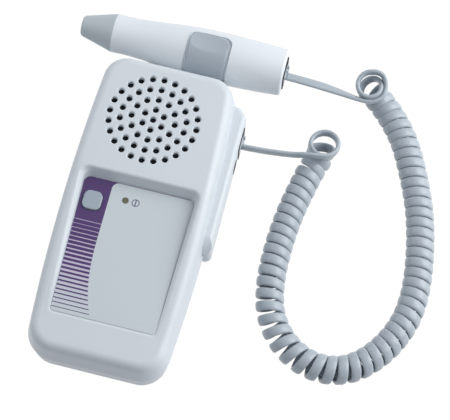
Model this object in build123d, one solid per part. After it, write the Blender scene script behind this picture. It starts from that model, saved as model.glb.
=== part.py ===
from build123d import *
from math import atan2, cos, pi, radians, sin, tan
import os

# Handheld fetal doppler, lying on its back, in millimetres.
# Origin: centre of the flat back.  X runs across the case, Y runs along it towards the probe,
# Z comes out of the face.  The probe lies across the top end in its cradle.

# ---------------------------------------------------------------- case
CASE_LENGTH = 144.5
CASE_MID_WIDTH = 68.6
TOP_NARROWING = 6.2
BOTTOM_NARROWING = 6.8
CASE_TOP_WIDTH = CASE_MID_WIDTH - TOP_NARROWING
CASE_BOTTOM_WIDTH = CASE_MID_WIDTH - BOTTOM_NARROWING
TOP_END_Y = CASE_LENGTH / 2
LOW_END_Y = -CASE_LENGTH / 2
WIDEST_Y = 3.0
CORNER_R = 13.0
WALL = 2.2
PARTING_Z = 16.5
DECK_Z = 28.5
STEP_RISE = 5.5
PLATEAU_Z = DECK_Z + STEP_RISE
FRONT_DRAFT = 9.0
REAR_DRAFT = 4.0
FRONT_EDGE_R = 4.2
BACK_EDGE_R = 7.0
PLATEAU_LENGTH = 58.55
STEP_RUN = 2.7
RIM_FALL_LENGTH = 67.7
RIM_BEND_R = 60.0
STEP_HEAD_Y = TOP_END_Y - PLATEAU_LENGTH
STEP_FOOT_Y = STEP_HEAD_Y - STEP_RUN
STEP_EDGE_R = 1.5
PARTING_STEP = 0.45
LIP_HEIGHT = 1.5
LIP_THICKNESS = 0.9
FIT_GAP = 0.15

# ---------------------------------------------------------------- label, button and lamp on the deck
LABEL_SIDE_SPACE = 18.2
LABEL_TOP_WIDTH = CASE_MID_WIDTH - LABEL_SIDE_SPACE
LABEL_NARROWING = 3.6
LABEL_BOTTOM_WIDTH = LABEL_TOP_WIDTH - LABEL_NARROWING
LABEL_MARGIN = 0.2
LABEL_TO_END = 18.75
LABEL_LENGTH = STEP_FOOT_Y - LABEL_MARGIN - LOW_END_Y - LABEL_TO_END
LABEL_CORNER_R = 3.0
LABEL_LOW_CORNER_R = 1.4
POCKET_SIDE = 2.1
POCKET_FOOT_SIDE = 0.35
POCKET_LOW_SIDE = 1.3
POCKET_BEND = 0.55
POCKET_CORNER_R = 4.0
LABEL_THICKNESS = 0.3
LABEL_RECESS = 0.35
BUTTON_TO_SIDE = 6.1
BUTTON_TO_STEP = 11.2
BUTTON_X = BUTTON_TO_SIDE - LABEL_TOP_WIDTH / 2
BUTTON_Y = STEP_FOOT_Y - BUTTON_TO_STEP
BUTTON_WIDTH = 8.5
BUTTON_HEIGHT = 8.9
BUTTON_CORNER_R = 2.9
BUTTON_PROUD = 0.9
BUTTON_GAP = 0.25
BUTTON_FLANGE = 1.2
BUTTON_TRAVEL = 0.5
LAMP_X = -4.9
LAMP_Y = STEP_FOOT_Y - 7.6
LAMP_D = 3.0

# ---------------------------------------------------------------- grille and speaker
GRILLE_X = -2.4
GRILLE_TO_END = 30.25
GRILLE_Y = TOP_END_Y - GRILLE_TO_END
GRILLE_PITCH = 5.0
GRILLE_RINGS = 4
GRILLE_HOLE_D = 2.9
GRILLE_CHAMFER = 0.4
SPEAKER_D = 46.0
SPEAKER_FLANGE = 1.6
SPEAKER_DEPTH = 13.0
MAGNET_D = 23.0
MAGNET_THICKNESS = 5.0
BASKET_WALL = 0.8
SURROUND_D = 42.6
CLOTH_THICKNESS = 0.3

# ---------------------------------------------------------------- jack side of the case
BUMP_RISE = 3.1
BUMP_X = CASE_MID_WIDTH / 2 + BUMP_RISE
BUMP_LENGTH = 71.4
BUMP_TO_END = 10.5
BUMP_HIGH_Y = TOP_END_Y - BUMP_TO_END
BUMP_LOW_Y = BUMP_HIGH_Y - BUMP_LENGTH
BUMP_SHOULDER = 3.9
BUMP_LOW_Z = PARTING_Z - 8.0
BUMP_HIGH_Z = PARTING_Z + 9.1
BUMP_EDGE_R = 3.0
BUMP_RIM_R = 2.4
NOSE_LENGTH = 8.6
NOSE_R = 10.5
JACK_TO_BUMP_END = 14.15
JACK_Y = BUMP_HIGH_Y - JACK_TO_BUMP_END
JACK_Z = PARTING_Z + 0.5
JACK_HEIGHT = 11.4
JACK_WIDTH = 11.2
JACK_DEPTH = 13.2
JACK_PROUD = 0.4
PHONE_TO_JACK = 12.0
PHONE_Y = JACK_Y - PHONE_TO_JACK
PHONE_D = 7.0
PHONE_BORE_R = 1.8
PHONE_DEPTH = 13.0
PHONE_WALL = 1.2

# ---------------------------------------------------------------- modular plug
PLUG_WIDTH = 9.6
PLUG_HEIGHT = 6.6
PLUG_LENGTH = 12.2
PLUG_INSERTED = 11.2
PLUG_OFFSET = -1.4
PLUG_CLEARANCE = 0.15
LATCH_WIDTH = 4.6
LATCH_THICKNESS = 0.9
LATCH_RISE = 0.8
CONTACT_COUNT = 4
CONTACT_PITCH = 1.27

# ---------------------------------------------------------------- electronics
BOARD_LOW_Z = DECK_Z - 7.8
BOARD_THICKNESS = 1.6
BOARD_SIDE_SPACE = 8.3
BOARD_WIDTH = CASE_MID_WIDTH - 2 * BOARD_SIDE_SPACE
BOARD_END_SPACE = 18.25
BOARD_LOW_Y = LOW_END_Y + BOARD_END_SPACE
BOARD_STEP_SPACE = 5.7
BOARD_HIGH_Y = STEP_HEAD_Y - BOARD_STEP_SPACE
BOARD_SCREW_INSET = 4.5
BOARD_SCREW_X = BOARD_WIDTH / 2 - BOARD_SCREW_INSET
BOARD_SCREW_YS = (BOARD_LOW_Y + BOARD_SCREW_INSET, BOARD_HIGH_Y - BOARD_WIDTH / 2 + BOARD_THICKNESS)
CHIP_HEIGHT = 1.6
CAN_D = 5.0
CAN_HEIGHT = 3.0
SWITCH_SIZE = 6.0
SWITCH_HEIGHT = 2.0
PLUNGER_D = 3.0
SMALL_SCREW_D = 2.0
SMALL_HEAD_D = 3.8

# ---------------------------------------------------------------- battery and its door
BATTERY_WIDTH = 26.4
BATTERY_LENGTH = 46.4
BATTERY_THICKNESS = 17.2
BATTERY_LOW_Y = LOW_END_Y + 9.65
BATTERY_GAP = 0.35
STUD_SPACING = 12.7
STUD_D = 7.0
STUD_LENGTH = 2.2
SNAP_THICKNESS = 3.4
BAY_WALL = 1.6
DOOR_WIDTH = 34.0
DOOR_THICKNESS = 1.9
DOOR_INSET = 0.25
DOOR_HIGH_Y = BATTERY_LOW_Y + BATTERY_LENGTH + 7.2
DOOR_TONGUE = 1.1
DOOR_TONGUE_THICKNESS = 0.9
DOOR_GAP = 0.2
FLOOR_PAD = 3.5
GRIP_GROOVES = 5
GRIP_PITCH = 2.4

# ---------------------------------------------------------------- case screws
CASE_SCREW_X = CASE_MID_WIDTH / 2 - 11.3
CASE_SCREW_YS = (LOW_END_Y + 11.75, TOP_END_Y - 10.25)
CASE_SCREW_D = 2.6
CASE_HEAD_D = 5.0
CASE_BOSS_D = 7.2
CASE_HEAD_Z = 6.0
HEAD_THICKNESS = 1.8
SCREW_REACH = 8.0

# ---------------------------------------------------------------- volume wheel
WHEEL_D = 19.0
WHEEL_THICKNESS = 3.0
WHEEL_X = 9.0 - CASE_MID_WIDTH / 2
WHEEL_Y = STEP_HEAD_Y + 8.3
WHEEL_LOW_Z = PARTING_Z - 9.1
WHEEL_KNURLS = 30
WHEEL_GAP = 0.5
RUNNING_GAP = 0.06
SPINDLE_D = 3.0
POT_D = 11.0
POT_HEIGHT = 4.0
POT_EAR = 14.0

# ---------------------------------------------------------------- probe
PROBE_Y = TOP_END_Y + 14.45
PROBE_Z = PARTING_Z + 1.5
TIP_X = -48.4
TIP_FACE_R = 4.6
TIP_NOSE_R = 1.6
NECK_X = -32.7
NECK_R = 9.05
WAIST_X = -25.0
WAIST_R = 8.95
SHOULDER_X = 4.0
SHOULDER_R = 11.5
BELLY_X = 21.0
BELLY_R = 11.9
PROBE_END_X = 48.6
PROBE_END_R = 10.7
PROBE_RIM_R = 1.3
PROBE_WALL = 2.0
PROBE_JACK_PROUD = 0.6
GROOVE_DEPTH = 0.5
CRYSTAL_R = 3.3
CRYSTAL_THICKNESS = 0.5
CRYSTAL_SPLIT = 0.5
LENS_THICKNESS = 0.9
BACKING_THICKNESS = 2.5
PAD_LOW_X = 3.4
PAD_HIGH_X = 21.4
PAD_HALF_ANGLE = 63.0
PAD_CENTRE_ANGLE = 37.0
PAD_R = 12.15
PAD_THICKNESS = 1.5
PAD_CORNER_R = 3.6
PAD_EDGE_R = 0.5
PAD_SIDE_GAP = 1.4
PAD_END_ANGLE = 2.5
PAD_FLOOR_GAP = 0.05
DISH_R = 50.0
DISH_DEPTH = 0.95
DISH_ANGLE = -2.0

# ---------------------------------------------------------------- cradle
CRADLE_LOW_X = -15.0
CRADLE_HIGH_X = 20.0
CRADLE_FLANGE_XS = (-11.0, 15.0)
CRADLE_BORE_R = 13.0
CRADLE_OUTER_R = 15.2
CRADLE_RIM_Z = PROBE_Z - 6.5
CRADLE_FLANGE_Z = PROBE_Z - 4.4
CRADLE_FLANGE_FLOOR = PROBE_Z - 14.6
CRADLE_SEAT_Y = TOP_END_Y - 2.85
CRADLE_PAD_DEPTH = 3.4
CRADLE_SCREW_XS = (-6.0, 10.0)
LINER_LENGTH = 6.0
LINER_INSET = 2.0
LINER_GAP = 0.3

# ---------------------------------------------------------------- cord
CORD_WIDTH = 4.4
LEAD_D = 3.6
COIL_D = 13.2
COIL_Z = COIL_D / 2
COIL_END_Z = 18.6

# Route of the coil on the table, from under its upper end round to under its lower end.
COIL_ROUTE = [
    (90.0, 95.0), (101.2, 85.2), (110.6, 71.1), (117.9, 56.0), (124.3, 38.7), (128.4, 19.8),
    (130.3, 2.0), (128.8, -14.1), (121.2, -30.0), (109.1, -42.0), (94.6, -44.8), (80.2, -39.4),
    (69.3, -26.6), (65.4, -10.0), (65.1, 8.0), (66.6, 25.0), (69.5, 42.1), (74.0, 58.5),
]
COIL_TOP_END = (88.3, 91.6)
COIL_BOTTOM_END = (74.9, 57.2)
# The two flat leads, each from its plug to the end turn of the coil.
UNIT_LEAD_TAIL = [(47.5, 46.2, 17.0), (55.0, 48.2, 15.6), (62.5, 49.6, 13.4), (69.5, 51.0, 11.2), (76.0, 52.6, 10.2)]
PROBE_LEAD_TAIL = [(60.0, 85.3, 18.0), (67.5, 86.6, 16.2), (75.0, 87.4, 13.4), (82.0, 87.4, 11.2), (88.6, 88.4, 10.2)]


# ================================================================ helpers
def box(x0, x1, y0, y1, z0, z1):
    """A block between two opposite corners."""
    return Pos((x0 + x1) / 2, (y0 + y1) / 2, (z0 + z1) / 2) * Box(x1 - x0, y1 - y0, z1 - z0)


def rod(x, y, z0, z1, diameter):
    """An upright cylinder."""
    return Pos(x, y, (z0 + z1) / 2) * Cylinder(diameter / 2, z1 - z0)


def rod_x(x0, x1, y, z, radius):
    """A cylinder along X."""
    return Pos((x0 + x1) / 2, y, z) * Rot(0, 90, 0) * Cylinder(radius, x1 - x0)


def case_face(inset, z):
    """Plan outline of the case: bowed sides, straight ends and round corners."""
    end = CASE_LENGTH / 2
    low_left, low_right = (-CASE_BOTTOM_WIDTH / 2, -end), (CASE_BOTTOM_WIDTH / 2, -end)
    high_left, high_right = (-CASE_TOP_WIDTH / 2, end), (CASE_TOP_WIDTH / 2, end)
    outline = [
        Line(low_left, low_right),
        ThreePointArc(low_right, (CASE_MID_WIDTH / 2, WIDEST_Y), high_right),
        Line(high_right, high_left),
        ThreePointArc(high_left, (-CASE_MID_WIDTH / 2, WIDEST_Y), low_left),
    ]
    face = make_face(Curve() + outline)
    face = fillet(face.vertices(), CORNER_R)
    if inset > 0:
        face = offset(face, -inset)
    return Pos(0, 0, z) * face


def rear_block(inset, low_z, edge_r):
    """Drafted block below the parting line, narrowing towards the back, with a round back edge."""
    height = PARTING_Z - low_z
    upright = extrude(case_face(inset, 0), height, taper=REAR_DRAFT)
    block = Pos(0, 0, PARTING_Z) * mirror(upright, about=Plane.XY)
    return fillet(block.edges().group_by(Axis.Z)[0], edge_r)


def front_block(inset, high_z, edge_r):
    """Drafted block above the parting line, narrowing towards the face, with a round face edge."""
    block = extrude(case_face(inset, PARTING_Z), high_z - PARTING_Z, taper=FRONT_DRAFT)
    return fillet(block.edges().group_by(Axis.Z)[-1], edge_r)


def jack_panel(z0, z1):
    """The raised jack panel on the right side, with its sloped shoulder and the round nose at its low end."""
    root_x = CASE_TOP_WIDTH / 2 - 2 * WALL
    plan = make_face(Polyline(
        (root_x, BUMP_LOW_Y), (BUMP_X, BUMP_LOW_Y), (BUMP_X, BUMP_HIGH_Y - BUMP_SHOULDER),
        (BUMP_X - BUMP_SHOULDER, BUMP_HIGH_Y), (root_x, BUMP_HIGH_Y), close=True))
    outer = [v for v in plan.vertices() if v.X > root_x + WALL]
    bump = extrude(Pos(0, 0, z0) * fillet(outer, BUMP_EDGE_R), z1 - z0)
    free_z = z1 if z1 > PARTING_Z else z0
    rim = [e for e in bump.edges() if abs(e.center().Z - free_z) < FIT_GAP and e.center().X > root_x + FIT_GAP]
    bump = fillet(rim, BUMP_RIM_R)
    # The low end falls away in a long round nose.
    nose_y, nose_z = BUMP_LOW_Y + NOSE_LENGTH, BUMP_HIGH_Z + FIT_GAP - NOSE_R
    nose = box(root_x - WALL, BUMP_X + WALL, BUMP_LOW_Y - WALL, nose_y, nose_z, BUMP_HIGH_Z + WALL)
    nose -= rod_x(root_x - 2 * WALL, BUMP_X + 2 * WALL, nose_y, nose_z, NOSE_R)
    return bump - nose - rear_hollow() - front_hollow()


def rear_hollow():
    """Space inside the rear shell."""
    return rear_block(PARTING_STEP + WALL, WALL, BACK_EDGE_R - WALL)


def front_hollow():
    """Space inside the front shell, in two levels."""
    upper = front_block(WALL, PLATEAU_Z - WALL, FRONT_EDGE_R - WALL)
    upper &= box(-CASE_LENGTH, CASE_LENGTH, STEP_HEAD_Y + WALL, CASE_LENGTH, PARTING_Z, PLATEAU_Z)
    return front_block(WALL, DECK_Z - WALL, FRONT_EDGE_R - WALL) + upper


def grille_points():
    """Centres of the grille holes, ring by ring."""
    points = [(GRILLE_X, GRILLE_Y)]
    for ring in range(1, GRILLE_RINGS + 1):
        for step in range(6 * ring):
            angle = 2 * pi * step / (6 * ring)
            points.append((
                GRILLE_X + ring * GRILLE_PITCH * sin(angle),
                GRILLE_Y + ring * GRILLE_PITCH * cos(angle)))
    return points


def screw_points(x, ys):
    """Four screw places, mirrored left and right."""
    return [(side * x, y) for y in ys for side in (-1, 1)]


def rounded_block(x, y, width, height, corner, z0, z1):
    """An upright block with round vertical edges."""
    face = Pos(x, y, z0) * RectangleRounded(width, height, corner)
    return extrude(face, z1 - z0)


def jack_cut():
    """Room for the modular jack in the two case shells."""
    return box(BUMP_X - JACK_DEPTH, BUMP_X + 2 * WALL,
               JACK_Y - JACK_HEIGHT / 2, JACK_Y + JACK_HEIGHT / 2,
               JACK_Z - JACK_WIDTH / 2, JACK_Z + JACK_WIDTH / 2)


def phone_cut():
    """Room for the earphone socket in the two case shells."""
    return rod_x(BUMP_X - PHONE_DEPTH, BUMP_X + WALL, PHONE_Y, JACK_Z, PHONE_D / 2)


# ================================================================ case shells
def label_corners():
    """Corners of the tapered label, clockwise from the top left."""
    top = STEP_FOOT_Y - LABEL_MARGIN
    return [(-LABEL_TOP_WIDTH / 2, top), (LABEL_TOP_WIDTH / 2, top),
            (LABEL_BOTTOM_WIDTH / 2, top - LABEL_LENGTH), (-LABEL_BOTTOM_WIDTH / 2, top - LABEL_LENGTH)]


def rounded_label(corners, high_r, low_r):
    """Four-sided outline with its own corner radius at the high and at the low end."""
    face = make_face(Polyline(*corners, close=True))
    high, low = face.vertices().group_by(Axis.Y)[-1], face.vertices().group_by(Axis.Y)[0]
    face = fillet(high, high_r)
    ends = [v for v in face.vertices() for old in low if (v.center() - old.center()).length < FIT_GAP]
    return fillet(ends, low_r)


def label_face(margin, z):
    """Label outline, grown by margin, with its top edge at the foot of the step."""
    face = rounded_label(label_corners(), LABEL_CORNER_R, LABEL_LOW_CORNER_R)
    if margin > 0:
        face = offset(face, margin)
    return Pos(0, 0, z) * face


def side_view():
    """Side view of the front shell: level plateau, side rims falling gently, level low end."""
    reach = CASE_LENGTH
    foot_y = STEP_HEAD_Y - RIM_FALL_LENGTH
    top = FilletPolyline(
        (reach, PLATEAU_Z), (STEP_HEAD_Y, PLATEAU_Z), (foot_y, DECK_Z), (-reach, DECK_Z), radius=RIM_BEND_R)
    floor = Polyline((-reach, DECK_Z), (-reach, PARTING_Z), (reach, PARTING_Z), (reach, PLATEAU_Z))
    return Plane.YZ * make_face(Curve() + [top, floor])


def pocket_outline(share, side, low_side, head_y):
    """Outline of the label's pocket at a share of its depth, on a plane that falls with the side rims."""
    foot_y = STEP_HEAD_Y - RIM_FALL_LENGTH
    floor_z = DECK_Z - LABEL_RECESS
    high_z = floor_z + share * (PLATEAU_Z + FIT_GAP - floor_z)
    foot_z = floor_z + share * (DECK_Z + FIT_GAP - floor_z)
    slope = atan2(high_z - foot_z, head_y - foot_y)
    plane = Plane(origin=(0, head_y, high_z), x_dir=(1, 0, 0), z_dir=(0, -sin(slope), cos(slope)))
    (_, _), (high_x, _), (low_x, low_y), (_, _) = label_corners()
    high_x, low_x = high_x + LABEL_MARGIN + side, low_x + LABEL_MARGIN + side
    length = (head_y - low_y + LABEL_MARGIN + low_side) / cos(slope)
    corner = LABEL_CORNER_R + share * (POCKET_CORNER_R - LABEL_CORNER_R)
    return plane * rounded_label([(-high_x, 0), (high_x, 0), (low_x, -length), (-low_x, -length)],
                                 corner, LABEL_LOW_CORNER_R + share * POCKET_LOW_SIDE)


def label_pocket():
    """Room above the label: steep at the floor, wider towards the falling side rims."""
    floor = label_face(LABEL_MARGIN, DECK_Z - LABEL_RECESS)
    bend = pocket_outline(POCKET_BEND, POCKET_FOOT_SIDE, POCKET_LOW_SIDE * POCKET_BEND,
                          STEP_FOOT_Y + POCKET_BEND * STEP_RUN)
    mouth = pocket_outline(1, POCKET_SIDE, POCKET_LOW_SIDE, STEP_HEAD_Y)
    return loft([floor, bend, mouth], ruled=True)


def case_top():
    """Outside of the front shell without the jack panel: drafted, with round edges and the label's pocket."""
    block = extrude(case_face(0, PARTING_Z), PLATEAU_Z - PARTING_Z, taper=FRONT_DRAFT)
    block &= extrude(side_view(), CASE_MID_WIDTH, both=True)
    edges = [e for e in block.edges() if e.center().Z > DECK_Z - FIT_GAP and e.length > FIT_GAP]
    block = fillet([e for e in edges if abs(e.center().X) > WALL or abs(e.center().Y) > CASE_LENGTH / 2 - 2 * WALL],
                   FRONT_EDGE_R)
    pocket = label_pocket()
    skins = (block.shell(), pocket.shell())
    block -= pocket
    mouth = [e for e in block.edges() if all(Vertex(*(e @ 0.5)).distance_to(skin) < FIT_GAP / 100 for skin in skins)]
    return fillet(mouth, STEP_EDGE_R)


def front_shell():
    outer = case_top() + jack_panel(PARTING_Z, BUMP_HIGH_Z)

    shell = outer - front_hollow()
    rebate = extrude(case_face(WALL - LIP_THICKNESS - FIT_GAP, PARTING_Z), LIP_HEIGHT + FIT_GAP)
    shell -= rebate

    for x, y in screw_points(CASE_SCREW_X, CASE_SCREW_YS):
        top = (DECK_Z if y < 0 else PLATEAU_Z) - WALL
        shell += rod(x, y, PARTING_Z, top + FIT_GAP, CASE_BOSS_D)
    for x, y in screw_points(BOARD_SCREW_X, BOARD_SCREW_YS):
        shell += rod(x, y, BOARD_LOW_Z + BOARD_THICKNESS, DECK_Z - WALL + FIT_GAP, 2 * SMALL_HEAD_D - FIT_GAP)
    ring_low = PLATEAU_Z - WALL - CLOTH_THICKNESS - SPEAKER_FLANGE
    ring = rod(GRILLE_X, GRILLE_Y, ring_low, PLATEAU_Z - WALL + FIT_GAP, SPEAKER_D + 2 * FIT_GAP + 2 * WALL)
    shell += ring - rod(GRILLE_X, GRILLE_Y, ring_low, PLATEAU_Z, SPEAKER_D + 2 * FIT_GAP)

    for x, y in screw_points(CASE_SCREW_X, CASE_SCREW_YS):
        shell -= rod(x, y, PARTING_Z, PARTING_Z + SCREW_REACH, CASE_SCREW_D)
    for x, y in screw_points(BOARD_SCREW_X, BOARD_SCREW_YS):
        shell -= rod(x, y, BOARD_LOW_Z, DECK_Z - WALL, SMALL_SCREW_D)
    shell -= rounded_block(BUTTON_X, BUTTON_Y, BUTTON_WIDTH + 2 * BUTTON_GAP, BUTTON_HEIGHT + 2 * BUTTON_GAP,
                           BUTTON_CORNER_R + BUTTON_GAP, DECK_Z - 2 * WALL, DECK_Z + WALL)
    shell -= rod(LAMP_X, LAMP_Y, DECK_Z - 2 * WALL, DECK_Z + WALL, LAMP_D)
    hole = rod(0, 0, PLATEAU_Z - 2 * WALL, PLATEAU_Z + WALL, GRILLE_HOLE_D)
    flare = Pos(0, 0, PLATEAU_Z - GRILLE_CHAMFER / 2) * Cone(
        GRILLE_HOLE_D / 2, GRILLE_HOLE_D / 2 + GRILLE_CHAMFER, GRILLE_CHAMFER)
    shell -= [Pos(x, y, 0) * (hole + flare) for x, y in grille_points()]
    return shell - jack_cut() - phone_cut()


def rear_shell():
    outer = rear_block(PARTING_STEP, 0, BACK_EDGE_R)
    shell = outer + jack_panel(BUMP_LOW_Z, PARTING_Z) - rear_hollow()
    lip_inset = WALL - LIP_THICKNESS
    lip = extrude(case_face(lip_inset, PARTING_Z - WALL), WALL + LIP_HEIGHT)
    lip -= extrude(case_face(WALL, PARTING_Z - WALL), WALL + LIP_HEIGHT)
    lip &= outer + extrude(case_face(lip_inset, PARTING_Z), LIP_HEIGHT)
    shell += lip

    half = BATTERY_WIDTH / 2 + BATTERY_GAP
    bay_low, bay_high = BATTERY_LOW_Y - BATTERY_GAP, BATTERY_LOW_Y + BATTERY_LENGTH + SNAP_THICKNESS + BATTERY_GAP
    bay_top = BOARD_LOW_Z - BATTERY_GAP
    floor_x = DOOR_WIDTH / 2 + DOOR_TONGUE + BAY_WALL
    floor = box(-floor_x, floor_x, -CASE_LENGTH, DOOR_HIGH_Y + WALL, DOOR_INSET, FLOOR_PAD)
    bay = box(-half - BAY_WALL, half + BAY_WALL, bay_low - BAY_WALL, bay_high + BAY_WALL, WALL, bay_top)
    shell += (floor & outer) + bay

    for x, y in screw_points(CASE_SCREW_X, CASE_SCREW_YS):
        shell += rod(x, y, 0, PARTING_Z, CASE_BOSS_D) & outer
    low_x, high_x = CRADLE_FLANGE_XS
    shell += box(low_x - WALL, high_x + WALL, CRADLE_SEAT_Y - CRADLE_PAD_DEPTH, CRADLE_SEAT_Y + WALL / 2,
                 WALL / 2, PARTING_Z - WALL) & outer
    shell += rod(WHEEL_X, WHEEL_Y, WALL / 2, WHEEL_LOW_Z - WHEEL_GAP, 2 * SPINDLE_D)
    shell += box(WHEEL_X + WHEEL_D / 2 + 2 * WHEEL_GAP, WHEEL_X + POT_EAR, WHEEL_Y - POT_D / 4, WHEEL_Y + POT_D / 4,
                 WALL / 2, pot_low_z())

    for x, y in screw_points(CASE_SCREW_X, CASE_SCREW_YS):
        shell -= rod(x, y, 0, CASE_HEAD_Z, CASE_HEAD_D + 2 * FIT_GAP)
        shell -= rod(x, y, 0, PARTING_Z + LIP_HEIGHT, CASE_SCREW_D + 2 * FIT_GAP)
    shell -= box(-half, half, bay_low, bay_high, 0, PARTING_Z + LIP_HEIGHT + WALL + BATTERY_THICKNESS)
    door_half = DOOR_WIDTH / 2 + DOOR_GAP
    door_top = DOOR_INSET + DOOR_THICKNESS + DOOR_GAP
    tongue_z = DOOR_INSET + DOOR_THICKNESS - DOOR_TONGUE_THICKNESS
    shell -= box(-door_half, door_half, -CASE_LENGTH, DOOR_HIGH_Y + DOOR_GAP, 0, door_top)
    shell -= box(-door_half - DOOR_TONGUE, door_half + DOOR_TONGUE, -CASE_LENGTH, DOOR_HIGH_Y + DOOR_GAP,
                 tongue_z - DOOR_GAP, door_top)
    wheel_room = WHEEL_D / 2 + WHEEL_GAP
    shell -= rod(WHEEL_X, WHEEL_Y, WHEEL_LOW_Z - WHEEL_GAP, pot_low_z(), 2 * wheel_room)
    shell -= rod(WHEEL_X, WHEEL_Y, WALL, WHEEL_LOW_Z, SPINDLE_D + 2 * RUNNING_GAP)
    shell -= box(low_x - FIT_GAP, high_x + FIT_GAP, CRADLE_SEAT_Y, CASE_LENGTH,
                 CRADLE_FLANGE_FLOOR - FIT_GAP, CRADLE_FLANGE_Z + FIT_GAP)
    for x in CRADLE_SCREW_XS:
        shell -= Pos(x, CRADLE_SEAT_Y - CRADLE_PAD_DEPTH / 2, cradle_screw_z()) * Rot(90, 0, 0) * Cylinder(
            SMALL_SCREW_D / 2 + FIT_GAP, 2 * CRADLE_PAD_DEPTH)
    return shell - jack_cut() - phone_cut()


def battery_door():
    skin = rear_block(PARTING_STEP, 0, BACK_EDGE_R)
    half = DOOR_WIDTH / 2
    top = DOOR_INSET + DOOR_THICKNESS
    door = box(-half, half, -CASE_LENGTH, DOOR_HIGH_Y, DOOR_INSET, top)
    door += box(-half - DOOR_TONGUE, half + DOOR_TONGUE, -CASE_LENGTH, DOOR_HIGH_Y, top - DOOR_TONGUE_THICKNESS, top)
    door &= skin
    for row in range(GRIP_GROOVES):
        y = DOOR_HIGH_Y - (row + 2) * GRIP_PITCH
        door -= box(-half / 2, half / 2, y - GRIP_PITCH / 4, y + GRIP_PITCH / 4, 0, DOOR_INSET + GRIP_PITCH / 4)
    return door


def panel_label():
    label = extrude(label_face(0, DECK_Z - LABEL_RECESS), LABEL_THICKNESS)
    label -= rounded_block(BUTTON_X, BUTTON_Y, BUTTON_WIDTH + 2 * BUTTON_GAP, BUTTON_HEIGHT + 2 * BUTTON_GAP,
                           BUTTON_CORNER_R + BUTTON_GAP, DECK_Z - WALL, DECK_Z + WALL)
    return label - rod(LAMP_X, LAMP_Y, DECK_Z - WALL, DECK_Z + WALL, LAMP_D)


# ================================================================ button, lamp and volume wheel
def button_foot_z():
    """Underside of the button's flange, one small gap above the switch's full stroke."""
    return BOARD_LOW_Z + BOARD_THICKNESS + SWITCH_HEIGHT + BUTTON_TRAVEL + FIT_GAP


def power_button():
    foot = button_foot_z()
    shoulder = DECK_Z - WALL - FIT_GAP
    cap = rounded_block(BUTTON_X, BUTTON_Y, BUTTON_WIDTH, BUTTON_HEIGHT, BUTTON_CORNER_R, foot, DECK_Z + BUTTON_PROUD)
    cap = fillet(cap.edges().group_by(Axis.Z)[-1], BUTTON_PROUD * 0.6)
    flange = rounded_block(BUTTON_X, BUTTON_Y, BUTTON_WIDTH + 2 * BUTTON_FLANGE, BUTTON_HEIGHT + 2 * BUTTON_FLANGE,
                           BUTTON_CORNER_R, foot, shoulder)
    return cap + flange


def power_switch():
    low = BOARD_LOW_Z + BOARD_THICKNESS
    body = rounded_block(BUTTON_X, BUTTON_Y, SWITCH_SIZE, SWITCH_SIZE, FIT_GAP, low, low + SWITCH_HEIGHT)
    return body - rod(BUTTON_X, BUTTON_Y, low + FIT_GAP, low + 2 * SWITCH_HEIGHT, PLUNGER_D + 2 * FIT_GAP)


def switch_plunger():
    low = BOARD_LOW_Z + BOARD_THICKNESS + BUTTON_TRAVEL + 2 * FIT_GAP
    return rod(BUTTON_X, BUTTON_Y, low, button_foot_z(), PLUNGER_D)


def lamp_window():
    return rod(LAMP_X, LAMP_Y, DECK_Z - WALL, DECK_Z, LAMP_D)


def status_lamp():
    low = BOARD_LOW_Z + BOARD_THICKNESS
    top = DECK_Z - WALL - FIT_GAP
    body = rod(LAMP_X, LAMP_Y, low, top, LAMP_D)
    return fillet(body.edges().group_by(Axis.Z)[-1], LAMP_D / 2 - FIT_GAP)


def pot_low_z():
    return WHEEL_LOW_Z + WHEEL_THICKNESS + WHEEL_GAP


def volume_wheel():
    high = WHEEL_LOW_Z + WHEEL_THICKNESS
    wheel = rod(WHEEL_X, WHEEL_Y, WHEEL_LOW_Z, high, WHEEL_D)
    wheel = chamfer(wheel.edges().filter_by(GeomType.CIRCLE), WHEEL_THICKNESS / 8)
    notch = Pos(WHEEL_D / 2, 0, WHEEL_LOW_Z + WHEEL_THICKNESS / 2) * Cylinder(WHEEL_D / 50, WHEEL_THICKNESS * 2)
    wheel -= [Pos(WHEEL_X, WHEEL_Y, 0) * Rot(0, 0, 360 * k / WHEEL_KNURLS) * notch for k in range(WHEEL_KNURLS)]
    spindle = rod(WHEEL_X, WHEEL_Y, WALL + FIT_GAP, pot_low_z() + POT_HEIGHT / 2, SPINDLE_D)
    return wheel + spindle


def volume_pot():
    low = pot_low_z()
    body = rod(WHEEL_X, WHEEL_Y, low, low + POT_HEIGHT, POT_D)
    body += box(WHEEL_X, WHEEL_X + POT_EAR, WHEEL_Y - POT_D / 4, WHEEL_Y + POT_D / 4, low, low + POT_HEIGHT / 3)
    return body - rod(WHEEL_X, WHEEL_Y, low, low + POT_HEIGHT * 0.75, SPINDLE_D + 2 * RUNNING_GAP)


# ================================================================ speaker
def speaker_top():
    return PLATEAU_Z - WALL - CLOTH_THICKNESS


def grille_cloth():
    top = PLATEAU_Z - WALL
    return rod(GRILLE_X, GRILLE_Y, top - CLOTH_THICKNESS, top, SPEAKER_D)


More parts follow.
